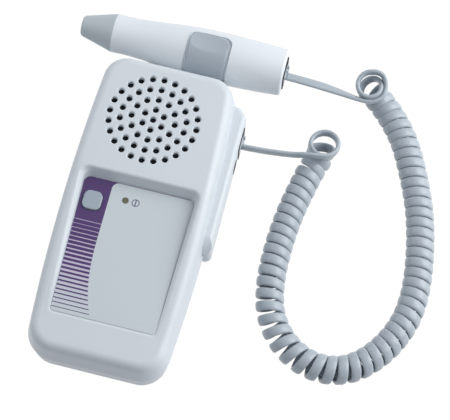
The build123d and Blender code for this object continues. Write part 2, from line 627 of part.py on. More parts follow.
def speaker_frame():
    top = speaker_top()
    flange = top - SPEAKER_FLANGE
    low = top - SPEAKER_DEPTH
    rim_r = SPEAKER_D / 2 - 2 * SPEAKER_FLANGE
    frame = rod(GRILLE_X, GRILLE_Y, flange, top, SPEAKER_D)
    frame += Pos(GRILLE_X, GRILLE_Y, (low + flange) / 2) * Cone(MAGNET_D / 2, rim_r + BASKET_WALL, flange - low)
    bowl = Pos(GRILLE_X, GRILLE_Y, (low + BASKET_WALL + top) / 2) * Cone(
        MAGNET_D / 2 - BASKET_WALL, rim_r, top - low - BASKET_WALL)
    frame -= bowl + rod(GRILLE_X, GRILLE_Y, top - BASKET_WALL, top, SURROUND_D)
    window_z = (low + flange) / 2
    window = Pos(GRILLE_X, GRILLE_Y, window_z) * Box(SPEAKER_D, MAGNET_D / 3, (flange - low) / 2)
    return frame - window - Pos(GRILLE_X, GRILLE_Y, window_z) * Box(MAGNET_D / 3, SPEAKER_D, (flange - low) / 2)


def speaker_cone():
    top = speaker_top() - BASKET_WALL
    low = speaker_top() - SPEAKER_DEPTH + 2 * SPEAKER_FLANGE
    rim_r = SPEAKER_D / 2 - 2 * SPEAKER_FLANGE - BASKET_WALL
    small_r = MAGNET_D / 2 - 3 * BASKET_WALL
    place = Pos(GRILLE_X, GRILLE_Y, (low + top) / 2)
    shell = place * Cone(small_r, rim_r, top - low)
    hollow = place * Pos(0, 0, BASKET_WALL / 2) * Cone(small_r - BASKET_WALL / 2, rim_r - BASKET_WALL / 2, top - low)
    surround = rod(GRILLE_X, GRILLE_Y, top, top + BASKET_WALL / 2, SURROUND_D)
    surround -= rod(GRILLE_X, GRILLE_Y, top, top + BASKET_WALL / 2, 2 * (rim_r - BASKET_WALL / 2))
    dome = Pos(GRILLE_X, GRILLE_Y, low + BASKET_WALL / 2) * Sphere(small_r / 2)
    dome &= rod(GRILLE_X, GRILLE_Y, low + BASKET_WALL / 2, top, SPEAKER_D)
    return shell - hollow + surround + dome


def speaker_magnet():
    high = speaker_top() - SPEAKER_DEPTH
    magnet = rod(GRILLE_X, GRILLE_Y, high - MAGNET_THICKNESS, high, MAGNET_D)
    return chamfer(magnet.edges().group_by(Axis.Z)[0], BASKET_WALL)


# ================================================================ board, battery, screws
def main_board():
    board = box(-BOARD_WIDTH / 2, BOARD_WIDTH / 2, BOARD_LOW_Y, BOARD_HIGH_Y,
                BOARD_LOW_Z, BOARD_LOW_Z + BOARD_THICKNESS)
    board = fillet(board.edges().filter_by(Axis.Z), BOARD_THICKNESS)
    for x, y in screw_points(BOARD_SCREW_X, BOARD_SCREW_YS):
        board -= rod(x, y, BOARD_LOW_Z, DECK_Z, SMALL_SCREW_D + 2 * FIT_GAP)
    return board


def board_chips():
    low = BOARD_LOW_Z + BOARD_THICKNESS
    length = BOARD_HIGH_Y - BOARD_LOW_Y
    tile = BOARD_WIDTH / 10
    # Each chip or can: place across and along the board as shares of its size, and width in tiles.
    chips = []
    for across, along, tiles in ((-0.02, 0.50, 2.0), (0.23, 0.34, 1.2), (-0.26, 0.24, 1.0)):
        x, y, half = across * BOARD_WIDTH, BOARD_LOW_Y + along * length, tiles * tile / 2
        chips.append(box(x - half, x + half, y - half, y + half, low, low + CHIP_HEIGHT))
    for across, along in ((0.04, 0.18), (0.23, 0.74)):
        chips.append(rod(across * BOARD_WIDTH, BOARD_LOW_Y + along * length, low, low + CAN_HEIGHT, CAN_D))
    return chips


def board_screws():
    low = BOARD_LOW_Z - HEAD_THICKNESS / 2
    screws = []
    for x, y in screw_points(BOARD_SCREW_X, BOARD_SCREW_YS):
        shank = rod(x, y, BOARD_LOW_Z, DECK_Z - WALL - FIT_GAP, SMALL_SCREW_D)
        screws.append(shank + rod(x, y, low, BOARD_LOW_Z, SMALL_HEAD_D))
    return screws


def case_screws():
    high = PARTING_Z + SCREW_REACH - WALL
    screws = []
    for x, y in screw_points(CASE_SCREW_X, CASE_SCREW_YS):
        head = rod(x, y, CASE_HEAD_Z - HEAD_THICKNESS, CASE_HEAD_Z, CASE_HEAD_D)
        screw = head + rod(x, y, CASE_HEAD_Z, high, CASE_SCREW_D)
        cross = HEAD_THICKNESS / 3
        for dx, dy in ((CASE_HEAD_D / 3, cross / 2), (cross / 2, CASE_HEAD_D / 3)):
            screw -= box(x - dx, x + dx, y - dy, y + dy, 0, CASE_HEAD_Z - HEAD_THICKNESS / 2)
        screws.append(screw)
    return screws


def battery_low_z():
    return DOOR_INSET + DOOR_THICKNESS + DOOR_GAP + BATTERY_GAP


def battery_studs(radius, length):
    """The pair of terminals on the battery's end."""
    y = BATTERY_LOW_Y + BATTERY_LENGTH + length / 2
    z = battery_low_z() + BATTERY_THICKNESS / 2
    return [Pos(x, y, z) * Rot(90, 0, 0) * Cylinder(radius, length)
            for x in (-STUD_SPACING / 2, STUD_SPACING / 2)]


def battery():
    low = battery_low_z()
    cell = box(-BATTERY_WIDTH / 2, BATTERY_WIDTH / 2, BATTERY_LOW_Y, BATTERY_LOW_Y + BATTERY_LENGTH,
               low, low + BATTERY_THICKNESS)
    return fillet(cell.edges().filter_by(Axis.Y), BATTERY_THICKNESS / 8) + battery_studs(STUD_D / 2, STUD_LENGTH)


def battery_snap():
    """Connector plate pressed onto the battery's terminals."""
    y0 = BATTERY_LOW_Y + BATTERY_LENGTH
    z = battery_low_z() + BATTERY_THICKNESS / 2
    half = BATTERY_WIDTH / 2 - BAY_WALL / 2
    plate = box(-half, half, y0, y0 + SNAP_THICKNESS, z - STUD_D * 0.8, z + STUD_D * 0.8)
    plate = fillet(plate.edges().filter_by(Axis.Y), STUD_D / 2)
    return plate - battery_studs(STUD_D / 2, STUD_LENGTH)


# ================================================================ modular jacks and plugs
def jack(face_x, y, z):
    """Black modular jack whose mouth faces +X, with its latch slot on the +Y side."""
    body = box(face_x - JACK_DEPTH, face_x, y - JACK_HEIGHT / 2, y + JACK_HEIGHT / 2,
               z - JACK_WIDTH / 2, z + JACK_WIDTH / 2)
    gap = PLUG_CLEARANCE
    plug_y = y + PLUG_OFFSET
    depth = PLUG_INSERTED
    body -= box(face_x - depth, face_x, plug_y - PLUG_HEIGHT / 2 - gap, plug_y + PLUG_HEIGHT / 2 + gap,
                z - PLUG_WIDTH / 2 - gap, z + PLUG_WIDTH / 2 + gap)
    slot_high = plug_y + PLUG_HEIGHT / 2 + LATCH_RISE + LATCH_THICKNESS + gap
    slot_half = LATCH_WIDTH / 2 + gap
    body -= box(face_x - depth, face_x, plug_y, slot_high, z - slot_half, z + slot_half)
    return body - jack_contacts(face_x, y, z)


def jack_contacts(face_x, y, z):
    """Spring contacts on the floor of a jack."""
    contacts = []
    floor_y = y + PLUG_OFFSET - PLUG_HEIGHT / 2 - PLUG_CLEARANCE
    low_y = y - JACK_HEIGHT / 2 + 2 * FIT_GAP
    for k in range(CONTACT_COUNT):
        zk = z + (k - (CONTACT_COUNT - 1) / 2) * CONTACT_PITCH
        contacts.append(box(face_x - PLUG_INSERTED, face_x - PLUG_INSERTED / 4, low_y, floor_y,
                            zk - CONTACT_PITCH / 5, zk + CONTACT_PITCH / 5))
    return contacts


def plug(face_x, y, z):
    """Clear modular plug pushed into a jack, with its spring latch on the +Y side."""
    y = y + PLUG_OFFSET
    nose, tail = face_x - PLUG_INSERTED, face_x - PLUG_INSERTED + PLUG_LENGTH
    body = box(nose, tail, y - PLUG_HEIGHT / 2, y + PLUG_HEIGHT / 2, z - PLUG_WIDTH / 2, z + PLUG_WIDTH / 2)
    body = fillet(body.edges().group_by(Axis.X)[-1], PLUG_HEIGHT / 10)
    top = y + PLUG_HEIGHT / 2
    profile = Polyline(
        (nose + LATCH_THICKNESS, top - FIT_GAP), (nose + 2 * LATCH_THICKNESS, top - FIT_GAP),
        (nose + 3 * LATCH_THICKNESS, top + LATCH_THICKNESS / 2), (tail, top + LATCH_RISE),
        (tail, top + LATCH_RISE + LATCH_THICKNESS), (nose + 2 * LATCH_THICKNESS, top + 1.6 * LATCH_THICKNESS),
        close=True)
    return body + extrude(Pos(0, 0, z - LATCH_WIDTH / 2) * make_face(profile), LATCH_WIDTH)


# ================================================================ probe
def about_probe_axis(part):
    """Carry a part made round the X axis onto the probe's axis."""
    return Pos(0, PROBE_Y, PROBE_Z) * part


def lathe(points_line, angle=360):
    """Turn a closed outline in the XY plane round the X axis."""
    return revolve(make_face(points_line), Axis.X, angle)


def probe_body():
    side = Spline((NECK_X, NECK_R), (WAIST_X, WAIST_R), (SHOULDER_X, SHOULDER_R), (BELLY_X, BELLY_R),
                  (PROBE_END_X, PROBE_END_R))
    outline = Curve() + [side, Polyline((PROBE_END_X, PROBE_END_R), (PROBE_END_X, 0), (NECK_X, 0), (NECK_X, NECK_R))]
    body = lathe(outline)
    rim = body.edges().filter_by(GeomType.CIRCLE).group_by(Axis.X)[-1]
    body = fillet(rim, PROBE_RIM_R)
    front_r, back_r = WAIST_R - PROBE_WALL, PROBE_END_R - PROBE_WALL
    front_end = SHOULDER_X - PROBE_WALL
    jack_back = PROBE_END_X + PROBE_JACK_PROUD - JACK_DEPTH
    body -= rod_x(NECK_X - PROBE_WALL, front_end, 0, 0, front_r)
    body -= rod_x(front_end - PROBE_WALL, jack_back - PROBE_WALL, 0, 0, back_r)
    body -= board_blank()
    body -= box(jack_back - 2 * PROBE_WALL, PROBE_END_X + PROBE_WALL, -JACK_HEIGHT / 2, JACK_HEIGHT / 2,
                -JACK_WIDTH / 2, JACK_WIDTH / 2)
    body -= pad_sector(PAD_LOW_X - PAD_SIDE_GAP, PAD_HIGH_X + PAD_SIDE_GAP,
                       PAD_R - PAD_THICKNESS - PAD_FLOOR_GAP, PAD_R + PAD_THICKNESS,
                       PAD_HALF_ANGLE + PAD_END_ANGLE, PAD_CORNER_R + PAD_SIDE_GAP / 2)
    return about_probe_axis(body)


def pad_sector(x0, x1, r0, r1, half_angle, corner):
    """Part of a ring round the X axis, centred on the side that faces up and towards the case."""
    strip = Polyline((x0, r0), (x1, r0), (x1, r1), (x0, r1), close=True)
    ring = revolve(make_face(strip), Axis.X, 2 * half_angle)
    corners = [e for e in ring.edges().filter_by(GeomType.LINE)
               if abs(e.length - (r1 - r0)) < FIT_GAP / 10]
    ring = fillet(corners, corner)
    return Rot(90 + PAD_CENTRE_ANGLE - half_angle, 0, 0) * ring


def probe_grip_pad():
    pad = pad_sector(PAD_LOW_X, PAD_HIGH_X, PAD_R - PAD_THICKNESS, PAD_R, PAD_HALF_ANGLE, PAD_CORNER_R)
    outer = [e for e in pad.edges() if min_radius(e) > PAD_R - FIT_GAP / 10]
    pad = fillet(outer, PAD_EDGE_R)
    dish_y = (PAD_R - DISH_DEPTH + DISH_R) * sin(radians(-DISH_ANGLE))
    dish_z = (PAD_R - DISH_DEPTH + DISH_R) * cos(radians(DISH_ANGLE))
    pad -= Pos((PAD_LOW_X + PAD_HIGH_X) / 2, dish_y, dish_z) * Sphere(DISH_R)
    return about_probe_axis(pad)


def min_radius(edge):
    """Smallest distance from the X axis to points of an edge."""
    points = [edge @ t for t in (0, 0.25, 0.5, 0.75, 1)]
    return min((p.Y ** 2 + p.Z ** 2) ** 0.5 for p in points)


def probe_tip():
    outline = Polyline((TIP_X, 0), (TIP_X, TIP_FACE_R), (NECK_X, NECK_R), (NECK_X, 0), close=True)
    tip = lathe(outline)
    tip = fillet(tip.edges().filter_by(GeomType.CIRCLE).group_by(Axis.X)[0], TIP_NOSE_R)
    spigot_r = WAIST_R - PROBE_WALL - FIT_GAP
    tip += rod_x(NECK_X, NECK_X + 2 * PROBE_WALL, 0, 0, spigot_r)
    tip -= rod_x(TIP_X + LENS_THICKNESS, NECK_X + 2 * PROBE_WALL, 0, 0, CRYSTAL_R + FIT_GAP)
    return about_probe_axis(tip)


def crystal(side):
    """Half-disc piezo crystal; the pair sits side by side behind the tip's face."""
    x0 = TIP_X + LENS_THICKNESS
    disc = rod_x(x0, x0 + CRYSTAL_THICKNESS, 0, 0, CRYSTAL_R)
    keep = box(x0, x0 + CRYSTAL_THICKNESS, -CRYSTAL_R, CRYSTAL_R, CRYSTAL_SPLIT / 2, CRYSTAL_R)
    half = disc & keep
    return about_probe_axis(half if side > 0 else mirror(half, about=Plane.XY))


def crystal_backing():
    x0 = TIP_X + LENS_THICKNESS + CRYSTAL_THICKNESS
    return about_probe_axis(rod_x(x0, x0 + BACKING_THICKNESS, 0, 0, CRYSTAL_R))


def board_blank():
    """The probe's board before it is carried onto the probe's axis."""
    x0, x1 = NECK_X + 4 * PROBE_WALL, PROBE_END_X - JACK_DEPTH - PROBE_WALL
    half = WAIST_R - PROBE_WALL + GROOVE_DEPTH
    board = box(x0, x1, -half, half, -BOARD_THICKNESS / 2, BOARD_THICKNESS / 2)
    return fillet(board.edges().filter_by(Axis.Z), BOARD_THICKNESS / 2)


def probe_board():
    return about_probe_axis(board_blank())


# ================================================================ cradle
def cradle_screw_z():
    return (CRADLE_FLANGE_FLOOR + CRADLE_FLANGE_Z) / 2 + WALL / 2


def probe_cradle():
    trough = about_probe_axis(rod_x(CRADLE_LOW_X, CRADLE_HIGH_X, 0, 0, CRADLE_OUTER_R))
    trough &= box(CRADLE_LOW_X, CRADLE_HIGH_X, CASE_LENGTH / 2 + FIT_GAP, CASE_LENGTH, 0, CRADLE_RIM_Z)
    flange = box(*CRADLE_FLANGE_XS, CRADLE_SEAT_Y, PROBE_Y - CRADLE_BORE_R / 2, CRADLE_FLANGE_FLOOR, CRADLE_FLANGE_Z)
    cradle = trough + flange - about_probe_axis(rod_x(CRADLE_LOW_X, CRADLE_HIGH_X, 0, 0, CRADLE_BORE_R))
    for x in CRADLE_SCREW_XS:
        cradle -= Pos(x, CRADLE_SEAT_Y, cradle_screw_z()) * Rot(90, 0, 0) * Cylinder(
            SMALL_SCREW_D / 2, 2 * CRADLE_PAD_DEPTH)
    return cradle


def probe_radius(x):
    """Radius of the probe's side, taken straight between the outline's named places."""
    places = [(WAIST_X, WAIST_R), (SHOULDER_X, SHOULDER_R), (BELLY_X, BELLY_R), (PROBE_END_X, PROBE_END_R)]
    for (x0, r0), (x1, r1) in zip(places, places[1:]):
        if x <= x1:
            return r0 + (r1 - r0) * (x - x0) / (x1 - x0)
    return PROBE_END_R


def cradle_liners():
    """Two soft saddles that fill the cradle up to the probe's own size."""
    liners = []
    for x0 in (CRADLE_LOW_X + LINER_INSET, CRADLE_HIGH_X - LINER_INSET - LINER_LENGTH):
        x1 = x0 + LINER_LENGTH
        inner = max(probe_radius(x0), probe_radius(x1)) + LINER_GAP
        ring = rod_x(x0, x1, 0, 0, CRADLE_BORE_R) - rod_x(x0, x1, 0, 0, inner)
        liners.append(about_probe_axis(ring) & box(x0, x1, 0, CASE_LENGTH, 0, CRADLE_RIM_Z - WALL / 2))
    return liners


def cradle_screws():
    y1 = CRADLE_SEAT_Y + CRADLE_PAD_DEPTH
    y0 = CRADLE_SEAT_Y - CRADLE_PAD_DEPTH
    screws = []
    for x in CRADLE_SCREW_XS:
        shank = Pos(x, (y0 + y1) / 2, cradle_screw_z()) * Rot(90, 0, 0) * Cylinder(SMALL_SCREW_D / 2, y1 - y0)
        head = Pos(x, y0 - HEAD_THICKNESS / 4, cradle_screw_z()) * Rot(90, 0, 0) * Cylinder(
            SMALL_HEAD_D / 2, HEAD_THICKNESS / 2)
        screws.append(shank + head)
    return screws


# ================================================================ earphone socket
def phone_socket():
    low = BUMP_X - PHONE_DEPTH
    body = rod_x(low, BUMP_X + FIT_GAP, PHONE_Y, JACK_Z, PHONE_D / 2)
    return body - rod_x(low + PHONE_WALL, BUMP_X + FIT_GAP, PHONE_Y, JACK_Z, PHONE_BORE_R)


# ================================================================ cord
def rounded_route(points):
    """Straight runs joined by arcs as large as the shorter run beside each corner allows."""
    radii = []
    for a, b, c in zip(points, points[1:], points[2:]):
        before, after = Vector(*b) - Vector(*a), Vector(*c) - Vector(*b)
        turn = radians(before.get_angle(after))
        radii.append(0.45 * min(before.length, after.length) / tan(turn / 2))
    return FilletPolyline(*points, radius=radii), radii


def tube(points, diameter):
    """Round tube along a route."""
    route, radii = rounded_route(points)
    section = Plane(origin=points[0], z_dir=Vector(*points[1]) - Vector(*points[0])) * Circle(diameter / 2)
    solid = sweep(section, path=route)
    ideal = pi * diameter ** 2 / 4 * route.length
    print("route length %.1f, radii %s, volume ratio %.4f" % (
        route.length, " ".join("%.0f" % r for r in radii), solid.volume / ideal))
    return solid


def plug_tail(face_x, y, z):
    """Point where the cord leaves a plug."""
    return (face_x - PLUG_INSERTED + PLUG_LENGTH, y + PLUG_OFFSET, z)


def cord_coil():
    body = tube([(x, y, COIL_Z) for x, y in COIL_ROUTE], COIL_D)
    for foot, end in ((COIL_ROUTE[0], COIL_TOP_END), (COIL_ROUTE[-1], COIL_BOTTOM_END)):
        low, high = Vector(*foot, COIL_Z), Vector(*end, COIL_END_Z - COIL_D / 4)
        axis = high - low
        stub = Plane(origin=low, z_dir=axis) * Pos(0, 0, axis.length / 2) * Cylinder(COIL_D / 2, axis.length)
        body += stub + Pos(low) * Sphere(COIL_D / 2)
    return body


# ================================================================ the whole set
UNIT_FACE_X = BUMP_X + JACK_PROUD
PROBE_FACE_X = PROBE_END_X + PROBE_JACK_PROUD
UNIT_PORT = (UNIT_FACE_X, JACK_Y, JACK_Z)
PROBE_PORT = (PROBE_FACE_X, PROBE_Y, PROBE_Z)

PIECES = {
    "front_shell": front_shell,
    "rear_shell": rear_shell,
    "battery_door": battery_door,
    "panel_label": panel_label,
    "power_button": power_button,
    "power_switch": power_switch,
    "switch_plunger": switch_plunger,
    "lamp_window": lamp_window,
    "status_lamp": status_lamp,
    "volume_wheel": volume_wheel,
    "volume_pot": volume_pot,
    "grille_cloth": grille_cloth,
    "speaker_frame": speaker_frame,
    "speaker_cone": speaker_cone,
    "speaker_magnet": speaker_magnet,
    "main_board": main_board,
    "board_chips": board_chips,
    "board_screws": board_screws,
    "case_screws": case_screws,
    "battery": battery,
    "battery_snap": battery_snap,
    "unit_jack": lambda: jack(*UNIT_PORT),
    "unit_jack_contacts": lambda: jack_contacts(*UNIT_PORT),
    "phone_socket": phone_socket,
    "probe_cradle": probe_cradle,
    "cradle_liners": cradle_liners,
    "cradle_screws": cradle_screws,
    "probe_body": probe_body,
    "probe_tip": probe_tip,
    "probe_grip_pad": probe_grip_pad,
    "crystal_send": lambda: crystal(1),
    "crystal_receive": lambda: crystal(-1),
    "crystal_backing": crystal_backing,
    "probe_board": probe_board,
    "probe_jack": lambda: jack(*PROBE_PORT),
    "probe_jack_contacts": lambda: jack_contacts(*PROBE_PORT),
    "unit_plug": lambda: plug(*UNIT_PORT),
    "probe_plug": lambda: plug(*PROBE_PORT),
    "cord_lead_unit": lambda: tube([plug_tail(*UNIT_PORT)] + UNIT_LEAD_TAIL, LEAD_D),
    "cord_lead_probe": lambda: tube([plug_tail(*PROBE_PORT)] + PROBE_LEAD_TAIL, LEAD_D),
    "cord_coil": cord_coil,
}

os.makedirs("parts", exist_ok=True)
for name, make in PIECES.items():
    made = make()
    if isinstance(made, list):
        made = Compound(children=made)
    export_step(made, "parts/" + name + ".step")
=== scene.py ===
"""Fetal doppler monitor: finishes, print, plugs, curly cord and stage around the packed solids."""

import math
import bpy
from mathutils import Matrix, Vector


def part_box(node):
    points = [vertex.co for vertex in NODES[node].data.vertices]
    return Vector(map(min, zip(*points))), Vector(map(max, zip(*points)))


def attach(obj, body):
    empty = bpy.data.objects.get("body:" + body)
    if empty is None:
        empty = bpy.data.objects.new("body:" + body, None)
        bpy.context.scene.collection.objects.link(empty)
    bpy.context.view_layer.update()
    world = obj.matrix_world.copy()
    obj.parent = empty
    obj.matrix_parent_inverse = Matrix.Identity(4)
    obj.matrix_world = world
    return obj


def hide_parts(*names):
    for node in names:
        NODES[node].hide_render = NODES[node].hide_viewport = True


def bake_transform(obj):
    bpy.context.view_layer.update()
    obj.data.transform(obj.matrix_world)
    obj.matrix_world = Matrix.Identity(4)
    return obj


bl_info = {
    "name": "Fetal Doppler Monitor",
    "version": (1, 0, 0),
    "blender": (4, 5, 0),
    "location": "View3D > Sidebar > Doppler",
    "description": "Finishes a handheld fetal doppler with its probe, curly cord and stage",
    "category": "Object",
}

import bmesh
import bpy
from mathutils import Matrix, Vector

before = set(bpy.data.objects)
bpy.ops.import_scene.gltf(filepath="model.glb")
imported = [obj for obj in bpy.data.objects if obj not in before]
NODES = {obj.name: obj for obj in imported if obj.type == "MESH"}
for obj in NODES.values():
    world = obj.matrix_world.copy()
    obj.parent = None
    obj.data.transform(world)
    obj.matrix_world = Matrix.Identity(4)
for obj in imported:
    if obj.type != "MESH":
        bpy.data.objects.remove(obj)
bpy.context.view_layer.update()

# ---------------------------------------------------------------- routes of the cord, in metres

# From the unit's plug to the lower end of the coil.
UNIT_LEAD = [
    (0.0388, 0.0462, 0.0170),
    (0.0465, 0.0465, 0.0170),
    (0.0550, 0.0474, 0.0169),
    (0.0625, 0.0483, 0.0170),
]
# The coil's axis, from the unit's end to the probe's.
COIL_AXIS = [
    (0.0741, 0.0572, 0.0186),
    (0.0740, 0.0575, 0.0134),
    (0.0732, 0.0526, 0.0076),
    (0.0709, 0.0463, 0.0066),
    (0.0693, 0.0387, 0.0066),
    (0.0666, 0.0250, 0.0066),
    (0.0651, 0.0080, 0.0066),
    (0.0653, -0.0100, 0.0066),
    (0.0692, -0.0267, 0.0066),
    (0.0804, -0.0394, 0.0066),
    (0.0947, -0.0447, 0.0066),
    (0.1091, -0.0419, 0.0066),
    (0.1212, -0.0300, 0.0066),
    (0.1287, -0.0141, 0.0066),
    (0.1303, 0.0019, 0.0066),
    (0.1284, 0.0197, 0.0066),
    (0.1244, 0.0387, 0.0066),
    (0.1178, 0.0559, 0.0066),
    (0.1106, 0.0710, 0.0066),
    (0.1048, 0.0790, 0.0066),
    (0.0989, 0.0855, 0.0066),
    (0.0928, 0.0902, 0.0079),
    (0.0883, 0.0914, 0.0134),
    (0.0882, 0.0907, 0.0186),
]
# From the coil's upper end to the probe's plug.
PROBE_LEAD = [
    (0.0956, 0.0942, 0.0160),
    (0.0960, 0.0884, 0.0150),
    (0.0925, 0.0846, 0.0142),
    (0.0875, 0.0839, 0.0140),
    (0.0820, 0.0843, 0.0145),
    (0.0750, 0.0850, 0.0151),
    (0.0675, 0.0853, 0.0162),
    (0.0600, 0.0853, 0.0172),
    (0.0502, 0.0853, 0.0180),
]
# The cord's section: this many points round a superellipse of this power.
SECTION_POINTS, SECTION_POWER = 20, 0.77


# ---------------------------------------------------------------- values that a user would change


class DopplerCase(bpy.types.PropertyGroup):
    """Colours of the moulded pieces."""

    shell: bpy.props.StringProperty(
        name="Shell", description="Colour of the moulded case", default="#DCE3E8"
    )
    # The probe's default is lighter than the shell's: painted light standing in for the light on the probe's
    # sides.
    probe: bpy.props.StringProperty(
        name="Probe", description="Colour of the probe's body", default="#EBF1F5"
    )
    tip: bpy.props.StringProperty(
        name="Probe tip", description="Colour of the probe's cone", default="#C3CCD2"
    )
    pad: bpy.props.StringProperty(
        name="Grip pad", description="Colour of the soft pad on the probe", default="#B0BAC3"
    )
    button: bpy.props.StringProperty(
        name="Button", description="Colour of the power button", default="#AAB6C1"
    )
    jack: bpy.props.StringProperty(
        name="Jack", description="Colour of the modular jacks", default="#202226"
    )


class DopplerLabel(bpy.types.PropertyGroup):
    """The printed film on the face."""

    film: bpy.props.StringProperty(
        name="Film", description="Colour of the pale film", default="#D3DBE0"
    )
    ink: bpy.props.StringProperty(
        name="Ink", description="Colour of the block and stripes", default="#573F73"
    )
    between: bpy.props.StringProperty(
        name="Between stripes", description="Colour between the stripes", default="#CBC3DA"
    )
    stripes: bpy.props.IntProperty(
        name="Stripes", description="Number of stripes under the block", default=21, min=2
    )
    pitch: bpy.props.FloatProperty(
        name="Pitch", description="From one stripe to the next", default=0.00202, unit="LENGTH"
    )
    thick: bpy.props.FloatProperty(
        name="Thickest", description="Width of the first stripe", default=0.00185, unit="LENGTH"
    )
    thin: bpy.props.FloatProperty(
        name="Thinnest", description="Width of the last stripe", default=0.00032, unit="LENGTH"
    )


class DopplerCord(bpy.types.PropertyGroup):
    """The flat curly cord."""

    width: bpy.props.FloatProperty(
        name="Width", description="Width of the flat cord", default=0.0046, unit="LENGTH"
    )
    thickness: bpy.props.FloatProperty(
        name="Thickness", description="Thickness of the flat cord", default=0.0021, unit="LENGTH"
    )
    radius: bpy.props.FloatProperty(
        name="Coil radius",
        description="From the coil's axis to the middle of the cord",
        default=0.0055,
        unit="LENGTH",
    )
    turns: bpy.props.IntProperty(
        name="Turns", description="Number of turns in the coil", default=58, min=4
    )
    steps: bpy.props.IntProperty(
        name="Points a turn", description="Points along each turn", default=24, min=12
    )
    colour: bpy.props.StringProperty(
        name="Colour", description="Colour of the cord's jacket", default="#B3BDC5"
    )


class DopplerStage(bpy.types.PropertyGroup):
    """Lamps and backdrop."""

    sky: bpy.props.FloatProperty(
        name="Sky", description="Strength of the even light from all round", default=0.37, min=0.0
    )
    key: bpy.props.FloatProperty(
        name="Key lamp", description="Power of the large lamp at the right", default=5.45, unit="POWER"
    )
    fill: bpy.props.FloatProperty(
        name="Fill lamp",
        description="Power of the smaller lamp close by at the left",
        default=0.58,
        unit="POWER",
    )


# ---------------------------------------------------------------- small helpers

# A noise texture has this many cells to one grain.
CELLS_A_GRAIN = 0.35
# The slow drift of colour and gloss over a moulding, in metres.
DRIFT_SIZE = 0.012
GLOSS_DRIFT = 0.05


def linear(colour):
    """Turns an sRGB hex colour into linear red, green, blue and alpha."""
    parts = [int(colour[i : i + 2], 16) / 255 for i in (1, 3, 5)]
    return tuple(c / 12.92 if c <= 0.04045 else ((c + 0.055) / 1.055) ** 2.4 for c in parts) + (1.0,)


def shaded(colour, factor):
    """A linear colour made darker or lighter, with no channel past white."""
    return [min(1.0, c * factor) for c in colour[:3]] + [1.0]


def add(tree, kind, inputs=None, **settings):
    """Adds a node with its settings, and fills or links its inputs."""
    node = tree.nodes.new(kind)
    for key, value in settings.items():
        setattr(node, key, value)
    for key, value in (inputs or {}).items():
        if isinstance(value, bpy.types.NodeSocket):
            tree.links.new(value, node.inputs[key])
        else:
            node.inputs[key].default_value = value
    return node


def math_node(tree, operation, *values, **settings):
    """Adds a maths node on numbers or sockets, and returns what comes out of it."""
    inputs = dict(enumerate(values))
    return add(tree, "ShaderNodeMath", inputs, operation=operation, **settings).outputs[0]


def mix_colours(tree, share, first, second):
    """Mixes two colours, and returns the result's socket."""
    return add(tree, "ShaderNodeMix", {0: share, 6: first, 7: second}, data_type="RGBA").outputs[2]


def map_range(tree, value, from_min, from_max, to_min, to_max):
    """Maps one range onto another, and returns the result's socket."""
    ends = {"From Min": from_min, "From Max": from_max, "To Min": to_min, "To Max": to_max}
    return add(tree, "ShaderNodeMapRange", {"Value": value, **ends}).outputs["Result"]


def noise(tree, place, scale, detail=2.0, **more):
    """A cloudy pattern with about this many cells a metre; returns its strength."""
    inputs = {"Vector": place, "Scale": scale, "Detail": detail, **more}
    return add(tree, "ShaderNodeTexNoise", inputs).outputs["Fac"]


def raise_by(tree, shader, height, depth):
    """Lets a pattern stand out of the surface by a depth in metres."""
    bump = add(tree, "ShaderNodeBump", {"Height": height, "Distance": depth})
    tree.links.new(bump.outputs["Normal"], shader.inputs["Normal"])


def start_finish(name, **settings):
    """A new material with a Principled shader, and the Object coordinates that its patterns read."""
    material = bpy.data.materials.new(name)
    material.use_nodes = True
    tree = material.node_tree
    tree.nodes.clear()
    shader = add(tree, "ShaderNodeBsdfPrincipled", settings)
    add(tree, "ShaderNodeOutputMaterial", {"Surface": shader.outputs["BSDF"]})
    place = add(tree, "ShaderNodeTexCoord").outputs["Object"]
    return material, tree, shader, place


def plastic(name, colour, roughness, grain, depth, mottle=0.03, **settings):
    """A moulded surface whose grain and its depth are in metres; mottle is how far the colour drifts."""
    material, tree, shader, place = start_finish(name, Roughness=roughness, **settings)
    base = linear(colour)
    cloud = noise(tree, place, CELLS_A_GRAIN / DRIFT_SIZE, 4.0, Roughness=0.6)
    tone = mix_colours(tree, cloud, shaded(base, 1 - mottle), shaded(base, 1 + mottle))
    tree.links.new(tone, shader.inputs["Base Color"])
    gloss = map_range(tree, cloud, 0.3, 0.7, roughness - GLOSS_DRIFT, roughness + GLOSS_DRIFT)
    tree.links.new(gloss, shader.inputs["Roughness"])
    raise_by(tree, shader, noise(tree, place, CELLS_A_GRAIN / grain), depth)
    return material


def new_piece(name, mesh, finish, body):
    """Links a mesh as a piece, with its material, its body and its slot."""
    piece = bpy.data.objects.new(name, mesh)
    bpy.context.scene.collection.objects.link(piece)
    mesh.materials.clear()
    mesh.materials.append(finish)
    if body:
        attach(piece, body)
    return piece


def dress(finish, *names):
    """Gives CAD nodes their finish."""
    for name in names:
        for place in NODES[name].material_slots:
            place.material = finish


def evaluated_mesh(host, name):
    """The evaluated object's shape as a plain mesh."""
    bpy.context.view_layer.update()
    shape = bpy.data.meshes.new_from_object(host.evaluated_get(bpy.context.evaluated_depsgraph_get()))
    shape.name = name
    return shape


def grow(tree, name, values):
    """Runs a Geometry Nodes tree on an empty mesh with the given inputs, and returns the plain mesh."""
    empty = bpy.data.meshes.new(name + "_host")
    host = bpy.data.objects.new(name + "_host", empty)
    bpy.context.scene.collection.objects.link(host)
    modifier = host.modifiers.new("Nodes", "NODES")
    modifier.node_group = tree
    for socket in tree.interface.items_tree:
        if socket.item_type == "SOCKET" and socket.in_out == "INPUT" and socket.name in values:
            modifier[socket.identifier] = values[socket.name]
    shape = evaluated_mesh(host, name)
    bpy.data.objects.remove(host)
    bpy.data.meshes.remove(empty)
    return shape


